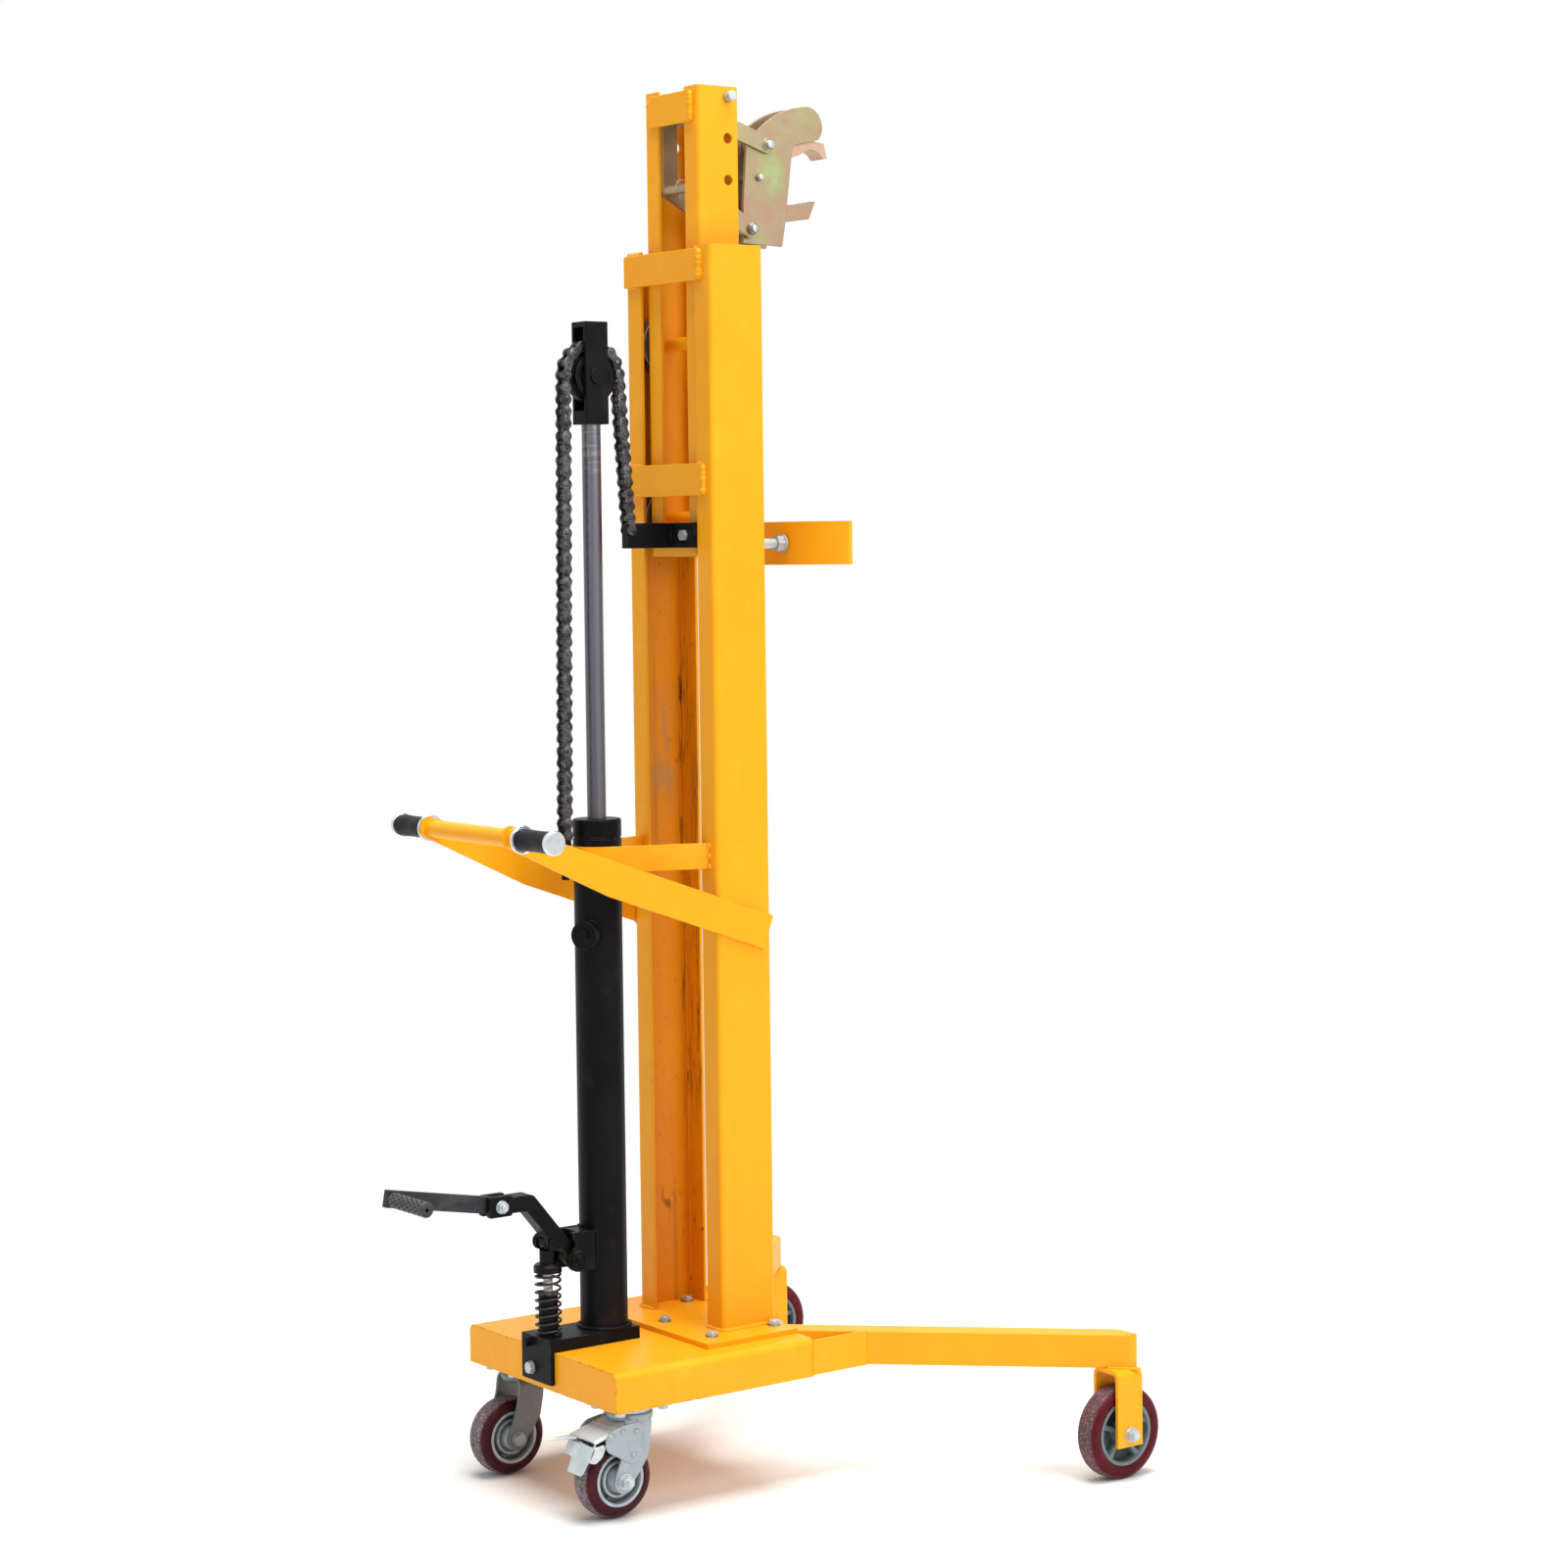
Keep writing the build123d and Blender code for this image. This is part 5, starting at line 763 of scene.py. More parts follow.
def springPath():
    # radius * (cos a, sin a), height rising one wire per closed turn at the ends and evenly between them
    turns = np.linspace(0, spring["turns"], int(spring["turns"] * spring["steps"]))
    wire, closed = spring["wire"] * mm, spring["closed"]
    base, top = springLow[2] + wire / 2, springHigh[2] - wire / 2
    knots = [0, closed, spring["turns"] - closed, spring["turns"]]
    endRise = wire * spring["closedRise"]
    rise = np.interp(turns, knots, [base, base + endRise, top - endRise, top])
    middle = (springLow + springHigh) / 2
    radius, angle = spring["radius"] * mm, turns * fullTurn
    return np.stack([middle[0] + radius * np.cos(angle), middle[1] + radius * np.sin(angle), rise], -1)


coil = swept(springPath(), ringSection(spring["wire"] / 2 * mm, spring["sides"]))
makePiece("pumpSpring", [coil], bluedSpring, ("truck", "pump_rod"), ["pump_spring"],
          bend=((0, springLow[1], springLow[2]), (0, springLow[1], springHigh[2])))

# Handle grips: waisted rubber sleeves between a dished chrome collar and a domed chrome cap
gripLow, gripHigh = cornersOf("grip_trim")
grip = {"sleeve": 82.0, "radius": 17.5, "waist": 1.0, "ribs": 44, "ribHeight": 0.22, "endEase": 0.8,
        "bore": 14.1, "collar": 22.0, "collarThick": 5.0, "cap": 19.0, "capThick": 8.0, "capRound": 3.0,
        "steps": 132, "trimSteps": 72}
gripAxis = np.array([0, (gripLow[1] + gripHigh[1]) / 2, (gripLow[2] + gripHigh[2]) / 2])


def gripSleeve(start, way):
    # radius - waist * sin(pi s)^1.5, less the grooves between fine ribs, which fade at both ends
    share = np.concatenate([[0, 0], np.linspace(0.02, 0.98, 40), [1, 1]])
    turn = np.linspace(0, fullTurn, grip["steps"], endpoint=False)
    body = grip["radius"] - grip["waist"] * np.sin(np.pi * share) ** 1.5
    fade = np.clip(np.minimum(share, 1 - share) * 14, 0, 1)
    radius = body[:, None] - grip["ribHeight"] * fade[:, None] * (0.5 + 0.5 * np.cos(grip["ribs"] * turn))
    radius[[0, -1]] = grip["bore"]
    radius[[1, -2]] -= grip["endEase"]
    return turned((radius, share * grip["sleeve"] * way), gripAxis + (start, 0, 0), "x", grip["steps"])


def gripPieces(side, end, way):
    capEnd = end - way * grip["capThick"] * mm
    collarEnd = end - way * (grip["capThick"] + grip["sleeve"]) * mm
    makePiece("handleGrip" + side, [gripSleeve(collarEnd, way)], gripRubber, "truck",
              ["handle_grips"])
    # collar: rolled rim, dished face towards the sleeve
    r, t, bore = grip["collar"], grip["collarThick"], grip["bore"]
    radius = [bore, r - 1.6, r - 0.6, r, r, r - 0.6, r - 1.6, r - 2.6, r - 3.6, 17.9, 17.6, bore]
    along = np.array([0, 0, 0.3, 1.2, t - 1.4, t - 0.4, t, t - 0.3, t - 1.6, t - 2.2, t - 0.6, t - 0.6])
    collar = turned((radius, along * way), gripAxis + (collarEnd - way * t * mm, 0, 0), "x",
                    grip["trimSteps"])
    # cap: straight wall, rounded shoulder, low dome
    r, t, shoulder = grip["cap"], grip["capThick"], grip["capRound"]
    arc = np.linspace(0, 1, 9) * math.pi / 2
    wall, dome = [11.0, r - 1.4, r - 0.3, r, r], [r * 0.6, r * 0.3, r * 0.04]
    radius = np.concatenate([wall, r - shoulder + shoulder * np.cos(arc) ** 0.9, dome])
    along = np.concatenate([[0, 0, 0.4, 1.2, t - 3.6], t - 3.4 + 2.6 * np.sin(arc), [t - 0.35, t - 0.1, t]])
    cap = turned((radius, along * way), gripAxis + (capEnd, 0, 0), "x", grip["trimSteps"])
    makePiece("gripTrim" + side, [collar, cap], chromePlate, "truck", ["grip_trim"])


gripPieces("Right", gripHigh[0], 1)
gripPieces("Left", gripLow[0], -1)

# Foot grip: rubber with a coarse diamond knurl and a moulded hole in its end
pedalLow, pedalHigh = cornersOf("pedal_grip")
pedal = {"radius": 12.0, "depth": 2.0, "around": 5, "diamond": 15.0, "steep": 2.4, "plain": (2.0, 3.0),
         "fade": 2.5, "hole": 3.0, "holeDeep": 8.0, "rows": 150, "steps": 160}


def pedalSleeve():
    # knurl height = the lesser of |sin(n t + k x)| and |sin(n t - k x)|: two crossed sets of grooves
    length = (pedalHigh[0] - pedalLow[0]) / mm
    start, end = pedal["plain"][0], length - pedal["plain"][1]
    along = np.linspace(start, end, pedal["rows"])
    turn = np.linspace(0, fullTurn, pedal["steps"], endpoint=False)
    twist = math.pi * along[:, None] / pedal["diamond"]
    crossed = pedal["around"] * turn
    height = np.minimum(np.abs(np.sin(crossed + twist)), np.abs(np.sin(crossed - twist)))
    fade = np.clip(np.minimum(along - start, end - along) / pedal["fade"], 0, 1)[:, None]
    knurl = pedal["radius"] - pedal["depth"] * (1 - np.clip(height * pedal["steep"], 0, 1)) * fade
    flat, hole = np.ones((1, pedal["steps"])), pedal["hole"]
    tip = [flat * r for r in (11.8, 10.6, 3.6, hole, hole)]
    radius = np.concatenate([flat * 11.2, flat * 11.8, knurl] + tip)
    tipAlong = length - np.array([1.6, 0.2, 0, 0.4, pedal["holeDeep"]])
    raised = np.clip((radius - pedal["radius"]) / 0.5 + 1, 0, 1)
    return (radius, np.concatenate([[0, 0.8], along, tipAlong])), {"raised": raised.ravel()}


pedalCentre = np.array([pedalLow[0], (pedalLow[1] + pedalHigh[1]) / 2, (pedalLow[2] + pedalHigh[2]) / 2])
pedalProfile, pedalMarks = pedalSleeve()
makePiece("pedalGrip", [turned(pedalProfile, pedalCentre, "x", pedal["steps"])], soleRubber, "foot_lever",
          ["pedal_grip"], marks=pedalMarks)
print("spring and grips done")

# Weld beads: a tube of overlapping pools laid along each seam
weld = {"step": 1.1, "pool": 1.5, "dip": 0.24, "spot": 6.0, "uneven": (0.78, 1.16), "sides": 10,
        "up": (0.6, 0.48, 0.64)}
chance = np.random.default_rng(7)


def weldBead(path, radius, closed=False):
    # radius * (1 - dip + dip * sqrt(1 - f * f)), f from -1 to 1 over each pool, pools of uneven size
    path = np.asarray(path, float)
    if closed:
        path = np.concatenate([path, path[:1]])
    reach = np.concatenate([[0], np.cumsum(np.linalg.norm(np.diff(path, axis=0), axis=1))])
    at = np.linspace(0, reach[-1], max(int(reach[-1] / weld["step"]), 6))
    at = at[:-1] if closed else at
    line = np.stack([np.interp(at, reach, path[:, k]) for k in range(3)], -1)
    f = 2 * (at / (weld["pool"] * radius) % 1) - 1
    spots = np.linspace(0, reach[-1], max(int(reach[-1] / weld["spot"]), 4))
    uneven = chance.uniform(*weld["uneven"], len(spots))
    uneven[-1] = uneven[0]
    size = radius * (1 - weld["dip"] + weld["dip"] * np.sqrt(1 - f * f)) * np.interp(at, spots, uneven)
    if not closed:
        size = size * np.clip(np.minimum(at, reach[-1] - at) / (2 * radius) + 0.5, 0, 1)
    return swept(drawn(line), ringSection(size * mm, weld["sides"]), up=weld["up"], closed=closed)


def circlePath(centre, radius, axis, count=48):
    # a ring of points across an axis
    turn = np.linspace(0, fullTurn, count, endpoint=False)
    points = np.zeros((count, 3))
    k = "xyz".index(axis)
    points[:, (k + 1) % 3], points[:, (k + 2) % 3] = radius * np.cos(turn), radius * np.sin(turn)
    return points + np.asarray(centre, float)


def arcPath(centre, radius, start, end, z, count=6):
    # part of a level ring, from one angle in degrees to another
    turn = np.radians(np.linspace(start, end, count))
    return np.stack([centre[0] + radius * np.cos(turn), centre[1] + radius * np.sin(turn), 0 * turn + z], -1)


# Seams of the frame, in drawing millimetres: a path and the bead's radius
seams = {"channel": (111.0, 44.0), "channelRound": 8.9, "foot": 246.8, "flange": 52.9, "footBead": 3.6,
         "bead": 2.6, "bars": ((1944.5, -12), (1605, -7)), "barHalf": 103.0, "barHeight": 51.0,
         "barBead": 6.6, "barY": -53.6, "edgeY": -53.0, "gap": 0.6, "mastHalf": 119.0, "handleSlope": 19.6,
         "handleFront": 906.0, "handleWidth": 58.4, "handleOut": 120.0, "mastFront": 52.0,
         "handleRuns": ((-50, -14), (14, 48)), "lowRunEnd": 28.0, "tube": (-431.0, 1060.0),
         "tubeRound": 14.9, "tubeBeads": ((-125.6, 2.6), (-118.4, 1.8), (118.4, 1.8), (125.6, 2.6)),
         "strapOut": 98.9, "legOut": (216.0, 163.0, 0.9163), "legTop": 178.4, "legRun": (446, 468, 486),
         "gusset": (216.2, 54.0, 180.0, 231.0), "gussetBead": 1.3}
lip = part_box("outer_channel_right")[0][0] / mm
strapLow, strapHigh = (corner[2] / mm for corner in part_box("cylinder_strap"))
(outX, outY), flange, foot = seams["channel"], seams["flange"], seams["foot"]
bead, gap = seams["bead"], seams["gap"]
rearTurn = arcPath((outX, -outY), seams["channelRound"], -90, 0, foot)
frontTurn = arcPath((outX, outY), seams["channelRound"], 0, 90, foot)
channelFoot = np.concatenate([[(lip, -flange, foot)], rearTurn, frontTurn, [(lip, flange, foot)]])
truckSeams = [(channelFoot, seams["footBead"]), (channelFoot * (-1, 1, 1), seams["footBead"])]
for z, offset in seams["bars"]:
    low, high = z - seams["barHeight"] / 2, z + seams["barHeight"] / 2
    for way in (-1, 1):
        end = offset + way * seams["barHalf"]
        room = seams["mastHalf"] - abs(end) - 1.4
        x = end + way * 1.2
        y = seams["barY"]
        truckSeams.append(([(x, y, low + 1), (x, y, high - 1)], min(seams["barBead"], room)))
        y = seams["edgeY"]
        for edge in (low - gap, high + gap):
            truckSeams.append(([(way * (lip + 4), y, edge), (end - way * 4, y, edge)], bead))
slope = math.tan(math.radians(seams["handleSlope"]))
for way in (-1, 1):
    x = way * seams["handleOut"]
    for y0, y1 in seams["handleRuns"]:
        for drop, last in ((-gap, y1), (seams["handleWidth"] + gap, min(y1, seams["lowRunEnd"]))):
            level = [seams["handleFront"] + (seams["mastFront"] - y) * slope - drop for y in (y0, last)]
            truckSeams.append(([(x, y0, level[0]), (x, last, level[1])], bead))
    x = way * seams["strapOut"]
    for z in (strapLow + 4, (strapLow + strapHigh) / 2, strapHigh - 4):
        truckSeams.append(([(x, -flange, z - 5), (x, -flange, z + 5)], seams["footBead"]))
    legX, legY, splay = seams["legOut"]
    legEdge = [(way * (legX + (y - legY) * splay + gap), y, seams["legTop"]) for y in seams["legRun"]]
    truckSeams.append((legEdge, bead))
    x, y, low, high = seams["gusset"]
    truckSeams.append(([(way * x, y, low), (way * x, y, high)], seams["gussetBead"]))
beads = [weldBead(path, radius) for path, radius in truckSeams]
for x, radius in seams["tubeBeads"]:
    beads.append(weldBead(circlePath((x, *seams["tube"]), seams["tubeRound"], "x"), radius, closed=True))
makePiece("frameWelds", beads, yellowEnamel, "truck", sharp=60)

mastSeams = {"bars": ((2172, 2222), (1483, 1533)), "bar": (57.2, -41.8), "barBead": 5.4,
             "shafts": (1826, 1544), "shaftOut": 69.6, "shaftRound": 11.8, "shaftBead": 2.2}
x, y = mastSeams["bar"]
beads = [weldBead([(way * x, y, low + 1), (way * x, y, high - 1)], mastSeams["barBead"])
         for low, high in mastSeams["bars"] for way in (-1, 1)]
for z in mastSeams["shafts"]:
    for way in (-1, 1):
        ring = circlePath((way * mastSeams["shaftOut"], 0, z), mastSeams["shaftRound"], "x", 32)
        beads.append(weldBead(ring, mastSeams["shaftBead"], closed=True))
makePiece("innerMastWelds", beads, yellowEnamel, "inner_mast", sharp=60)

pumpSeams = {"cylinder": -201.0, "foot": ((258.8, 39.0, 4.4), (259.6, 41.5, 3.2)),
             "boss": (22.9, 38.4, 888.0, -60.0), "bossBead": 2.8, "lug": (26.6, -229.4, 360.0, 417.0),
             "lugBead": 3.2, "lugTop": 419.2, "lugTopBead": 2.6,
             "lugTopRun": ((20.5, -233.4), (25.5, -229.5))}


def bossRing(radius, wall, height, lean):
    # saddle where a boss meets the cylinder: a = r cos t across, b = r sin t up, depth sqrt(wall^2 - a^2)
    t = np.linspace(0, fullTurn, 48, endpoint=False)[:, None]
    across = radius * np.cos(t)
    out = np.array([math.cos(math.radians(lean)), math.sin(math.radians(lean)), 0])
    aside = np.array([-out[1], out[0], 0])
    ring = across * aside + np.sqrt(wall ** 2 - across ** 2) * out + radius * np.sin(t) * (0, 0, 1)
    return ring + (0, pumpSeams["cylinder"], height)


beads = [weldBead(circlePath((0, pumpSeams["cylinder"], z), radius, "z"), size, closed=True)
         for z, radius, size in pumpSeams["foot"]]
beads.append(weldBead(bossRing(*pumpSeams["boss"]), pumpSeams["bossBead"], closed=True))
x, y, low, high = pumpSeams["lug"]
top = pumpSeams["lugTop"]
for way in (-1, 1):
    beads.append(weldBead([(way * x, y, low), (way * x, y, high)], pumpSeams["lugBead"]))
    beads.append(weldBead([(way * a, b, top) for a, b in pumpSeams["lugTopRun"]], pumpSeams["lugTopBead"]))
makePiece("pumpWelds", beads, blackEnamel, "truck", sharp=60)
print("welds done")

# Bolts: chamfered heads on washers, in place of the plain ones
bolts = {"flats": 16.0, "head": 6.4, "washer": 10.5, "washerThick": 2.0, "footTop": 246.0,
         "plateLow": 171.0, "tab": (-12.0, -330.0, 207.0), "tabFlats": 17.0, "tabHead": 7.0,
         "plate": (156.0, -258.0), "plateSpan": (34.0, 40.0)}
footBolts = [(132.5, -84), (-132.5, -84), (0, -84), (132.5, 38), (-132.5, 38), (96, 26), (-96, 26)]
(plateX, plateY), (spanX, spanY) = bolts["plate"], bolts["plateSpan"]
casterBolts = [(side * plateX + x, plateY + y) for side in (-1, 1)
               for x in (-spanX, spanX) for y in (-spanY, spanY)]


def washerRing(radius, thick, centre, axis, way=1, bore=5.2, ease=0.35):
    # flat ring with its outer edges eased
    radii = [bore, radius - ease, radius, radius, radius - ease, bore]
    along = np.array([0, 0, ease, thick - ease, thick, thick]) * way
    return turned((radii, along), centre, axis, 40, loop=True)


def washerAndHead(washer, head, centre, way):
    # washer (radius, thick) on a face across x, and a six-sided head (flats, height) on the washer
    seat = centre + (way * washer[1] * mm, 0, 0)
    return [washerRing(*washer, centre, "x", way), hexHead(*head, seat, "x", way)]


def pinEnd(profile, centre, way=1, steps=36, loop=False):
    # (radius, along) pairs turned about x, towards the right or the left
    radius, along = np.array(profile, float).T
    return turned((radius, along * way), centre, "x", steps, loop)


thick, top = bolts["washerThick"], bolts["footTop"]
washers = [washerRing(bolts["washer"], thick, drawn((x, y, top)), "z") for x, y in footBolts]
heads = [hexHead(bolts["flats"], bolts["head"], drawn((x, y, top + thick)), "z") for x, y in footBolts]
heads += [hexHead(bolts["flats"], bolts["head"], drawn((x, y, bolts["plateLow"])), "z", -1)
          for x, y in casterBolts]
heads.append(hexHead(bolts["tabFlats"], bolts["tabHead"], drawn(bolts["tab"]) - (0, thick * mm, 0), "y", -1))
washers.append(washerRing(bolts["washer"], thick, drawn(bolts["tab"]), "y", -1))
makePiece("frameBolts", heads, brightZinc, "truck", ["frame_bolts"])
makePiece("frameWashers", washers, turnedSteel, "truck")

# Foot lever: square clevis cheeks on a zinc bolt, a roller boss, and the lug that the lever rocks in
lever = {"pivot": (-264.0, 375.0), "clevis": (-399.0, 475.0), "roller": (-306.0, 404.3), "cheek": 16.5,
         "cheekThick": 9.5, "washer": (10.4, 1.6), "head": (16.6, 6.2), "nut": (16.6, 9.6),
         "lugRound": 19.0, "lugThick": 9.4, "lugSides": (-26.4, 17.0), "lidLow": 411.4, "lidThick": 7.4}


def roundedOutline(corners, reach, steps=6):
    # each corner C becomes (1 - t)^2 A + 2 t (1 - t) C + t^2 B,
    # with A and B at a reach from it along its sides
    corners = np.asarray(corners, float)
    sides = np.roll(corners, -1, 0) - corners
    lengths = np.linalg.norm(sides, axis=1, keepdims=True)
    reach = np.minimum(reach, 0.45 * np.minimum(lengths, np.roll(lengths, 1, 0)))
    ahead = corners + sides / lengths * reach
    back = corners - np.roll(sides / lengths, 1, 0) * reach
    t = np.linspace(0, 1, steps)[None, :, None]
    curve = (1 - t) ** 2 * back[:, None] + 2 * t * (1 - t) * corners[:, None] + t ** 2 * ahead[:, None]
    return curve.reshape(-1, 2)


def sheetPlate(outline, thick, base, u, v, ease=0.5):
    # base + a * u + b * v over an outline (a, b), raised along u x v, its two rims drawn in by a small ease
    outline, base, u, v = (np.asarray(part, float) for part in (outline, base, u, v))
    edge = np.roll(outline, -1, 0) - outline
    normal = np.stack([edge[:, 1], -edge[:, 0]], -1) / np.linalg.norm(edge, axis=1, keepdims=True)
    outward = normal + np.roll(normal, 1, 0)
    outward /= np.linalg.norm(outward, axis=1, keepdims=True)
    ahead = np.roll(outline, -1, 0)
    sense = np.sign(np.sum(outline[:, 0] * ahead[:, 1] - outline[:, 1] * ahead[:, 0]))
    small = outline - sense * ease * outward
    rings = ((small, 0), (outline, ease), (outline, thick - ease), (small, thick))
    points = np.stack([base + flat[:, :1] * u + flat[:, 1:] * v + high * np.cross(u, v)
                       for flat, high in rings])
    return gridSurface(drawn(points), closeV=True, caps=True)


def rivet(place, radius, height, way):
    # low dome on a face across x: radius * cos(t), height * sin(t)
    t = np.linspace(0, math.pi / 2 * 0.96, 7)
    profile = np.concatenate([[(radius, -1.0)], np.stack([radius * np.cos(t), height * np.sin(t)], -1)])
    return pinEnd(profile, drawn(place), way, 32)


def splitPin(place, way, across, leg, ring, wire=1.0):
    # a straight leg along one direction that closes into a ring at its end
    turn = np.linspace(-math.pi / 2, 1.4 * math.pi, 28)[:, None]
    way, across = np.asarray(way, float), np.asarray(across, float)
    loop = way * (ring + ring * np.sin(turn)) + across * ring * np.cos(turn)
    path = np.concatenate([[-leg * way, -leg * 0.5 * way], loop]) + np.asarray(place, float)
    return swept(drawn(path), ringSection(wire * mm, 10), up=np.cross(way, across))


toRight, forward, upright = (1, 0, 0), (0, 1, 0), (0, 0, 1)
blockOutline = roundedOutline([(-421, 459), (-379, 459), (-379, 492), (-421, 492)], 4)
cheeks = [sheetPlate(blockOutline, lever["cheekThick"], (x, 0, 0), forward, upright, 1.0)
          for x in (-lever["cheek"], lever["cheek"] - lever["cheekThick"])]
roller = drawn((0, *lever["roller"]))
rollerBoss = [(0.5, 14), (11.0, 14), (13.0, 14.4), (13.5, 15.2), (13.5, 23.2), (12.6, 24.4), (4.0, 24.8)]
cheeks.append(pinEnd(rollerBoss, roller, -1, 48))
cheeks.append(pinEnd([(7.4, 14), (7.4, 17.4), (6.4, 18.6), (2.0, 18.9)], roller))
makePiece("clevisCheeks", cheeks, blackEnamel, "foot_lever")
clevis = drawn((0, *lever["clevis"]))
face = np.array([lever["cheek"], 0, 0]) * mm
fittings = washerAndHead(lever["washer"], lever["head"], clevis + face, 1)
fittings.append(pinEnd([(5.4, 23), (5.4, 27.4), (4.8, 28.4), (3.2, 28.8)], clevis, 1, 32))
fittings.append(hexHead(*lever["nut"], clevis - face, "x", -1))
fittings.append(pinEnd([(5.3, 25), (5.3, 27.6), (4.6, 28.2)], clevis, -1, 32))
makePiece("clevisBolt", fittings, brightZinc, "foot_lever")

turn = np.radians(np.linspace(130, 270, 18))
lugRound = np.stack([np.cos(turn), np.sin(turn)], -1) * lever["lugRound"] + lever["pivot"]
lugTop = [(-227, 356), (-227, 418.5), (-228.5, 419.5), (-272, 419.5), (-274, 418), (-274, 409), (-268, 400)]
lugOutline = np.concatenate([lugRound, lugTop])
lug = [sheetPlate(lugOutline, lever["lugThick"], (x, 0, 0), forward, upright, 0.9) for x in lever["lugSides"]]
lid = [(-25.8, -262), (25.8, -262), (25.8, -231), (-25.8, -231)]
lug.append(sheetPlate(lid, lever["lidThick"], (0, 0, lever["lidLow"]), toRight, forward, 0.8))
pivot = drawn((0, *lever["pivot"]))
pivotRing = [(7.0, 25), (13.6, 25), (14.6, 26), (14.6, 29.6), (13.6, 30.6), (9.6, 31.0), (8.8, 29.8),
             (7.0, 29.8)]
for way in (-1, 1):
    lug.append(pinEnd(pivotRing, pivot, way, 48, loop=True))
    lug.append(pinEnd([(7.2, 24), (7.2, 31.2), (6.2, 32.2), (3.0, 32.6)], pivot, way, 40))
makePiece("leverLug", lug, blackEnamel, "truck", ["lever_lug"])
print("foot lever done")

# Gripper: washers, pin ends and split pins on its pivots, a brown bush at the lower bolt
gripper = {"jaw": (129.0, 2148.0), "guide": (114.0, 2095.0), "low": (91.0, 2010.0), "rod": (-26.7, 2071.0),
           "washer": (10.2, 2.2), "washerOut": 30.2, "jawCotter": 36.4, "lowCotter": 44.4, "rodCotter": 6.0}
jawPin, guidePin, lowPin = (drawn((0, *gripper[key])) for key in ("jaw", "guide", "low"))
pinEnds, bushes = [], []
for way in (-1, 1):
    pinEnds.append(washerRing(*gripper["washer"], jawPin + (way * gripper["washerOut"] * mm, 0, 0), "x", way))
    pinEnds.append(pinEnd([(6.3, 31), (6.3, 39.6), (5.6, 40.6), (3.0, 41.0)], jawPin, way))
    pinEnds.append(pinEnd([(4.6, 24), (4.6, 33.2), (4.0, 34.0), (2.0, 34.3)], guidePin, way, 32))
    pinEnds.append(pinEnd([(5.2, 36), (5.2, 45.6), (4.6, 46.5), (2.4, 46.9)], lowPin, way, 32))
    bush = [(5.0, 36.4), (8.6, 36.4), (9.0, 36.8), (9.0, 42.2), (8.4, 42.8), (5.0, 42.8)]
    bushes.append(pinEnd(bush, lowPin, way, loop=True))
    jawHole = (way * gripper["jawCotter"], *gripper["jaw"])
    lowHole = (way * gripper["lowCotter"], *gripper["low"])
    pinEnds.append(splitPin(jawHole, (0, -0.8, 0.6), (0, 0.6, 0.8), 10, 3.0))
    pinEnds.append(splitPin(lowHole, (0, -0.3, 0.95), (0, 0.95, 0.3), 9, 3.0))
rodY, rodZ = gripper["rod"]
pinEnds.append(splitPin((gripper["rodCotter"], rodY, rodZ - 6), (0, 0.2, 0.98), (0, 0.98, -0.2), 10, 10.4))
makePiece("gripperPinEnds", pinEnds, brightZinc, "inner_mast")
makePiece("gripperBushes", bushes, turnedSteel, "inner_mast")

# Rear caster forks: a pressed yoke under a round head, with axle bolt, washers and lock nut
fork = {"swivel": (156.0, -258.0), "axle": (-292.0, 62.5), "arm": 34.0, "thick": 5.0, "end": 19.0,
        "top": 159.8, "turn": 15.0, "edge": 0.7, "levels": (62.5, 76, 95, 125, 160),
        "front": (-273, -262, -249, -243, -240), "rear": (-311, -307, -299, -290, -286), "face": 36.5,
        "washer": (13.0, 2.4), "nut": (19.0, 9.6), "headWasher": (12.0, 2.0), "head": (18.0, 6.6),
        "cheek": 3.0, "pivot": (-318, 135), "pivotRivet": (6.6, 3.0),
        "rivets": ((-297, 141), (-272, 138), (-278, 102)), "rivet": (5.0, 3.2)}
forkHead = ([24, 31, 34.4, 36.2, 36.4, 35.6, 34.0, 20],
            [149, 149.4, 150.6, 153.4, 158.4, 161.4, 162.6, 162.6])
axleEnd = [(7.6, 46), (7.6, 50), (7.0, 50.6), (5.9, 50.8), (5.9, 54.2), (5.2, 55.0), (2.5, 55.3)]


def yoke(x0):
    # a strap carried up one arm, over the head and down the other; its two edges follow the levels,
    # and below the axle they close as end * sqrt(1 - d * d)
    axleY, axleZ = fork["axle"]
    low = axleZ - fork["end"] * np.cos(np.linspace(0.08, math.pi / 2, 10))[:-1]
    rise = np.concatenate([low, np.linspace(axleZ, fork["top"] - fork["turn"], 18)])
    arc = np.linspace(0, math.pi / 2, 9)[1:]
    x = np.concatenate([np.full(len(rise), fork["arm"]), fork["arm"] - fork["turn"] * (1 - np.cos(arc)),
                        [8.0]])
    z = np.concatenate([rise, fork["top"] - fork["turn"] * (1 - np.sin(arc)), [fork["top"]]])
    x, z = np.concatenate([x, -x[::-1]]), np.concatenate([z, z[::-1]])
    close = fork["end"] * np.sqrt(np.clip(1 - ((axleZ - z) / fork["end"]) ** 2, 0, 1))
    below = z < axleZ
    front = np.where(below, axleY + close, np.interp(z, fork["levels"], fork["front"]))
    rear = np.where(below, axleY - close, np.interp(z, fork["levels"], fork["rear"]))
    t, e = fork["thick"] / 2, fork["edge"]
    corners = [(-t, rear + e), (-t, front - e), (-t + e, front), (t - e, front),
               (t, front - e), (t, rear + e), (t - e, rear), (-t + e, rear)]
    section = np.stack([np.stack([np.full(len(z), a), b], -1) for a, b in corners], 1)
    return swept(drawn(np.stack([x + x0, 0 * x, z], -1)), section * mm, up=forward)


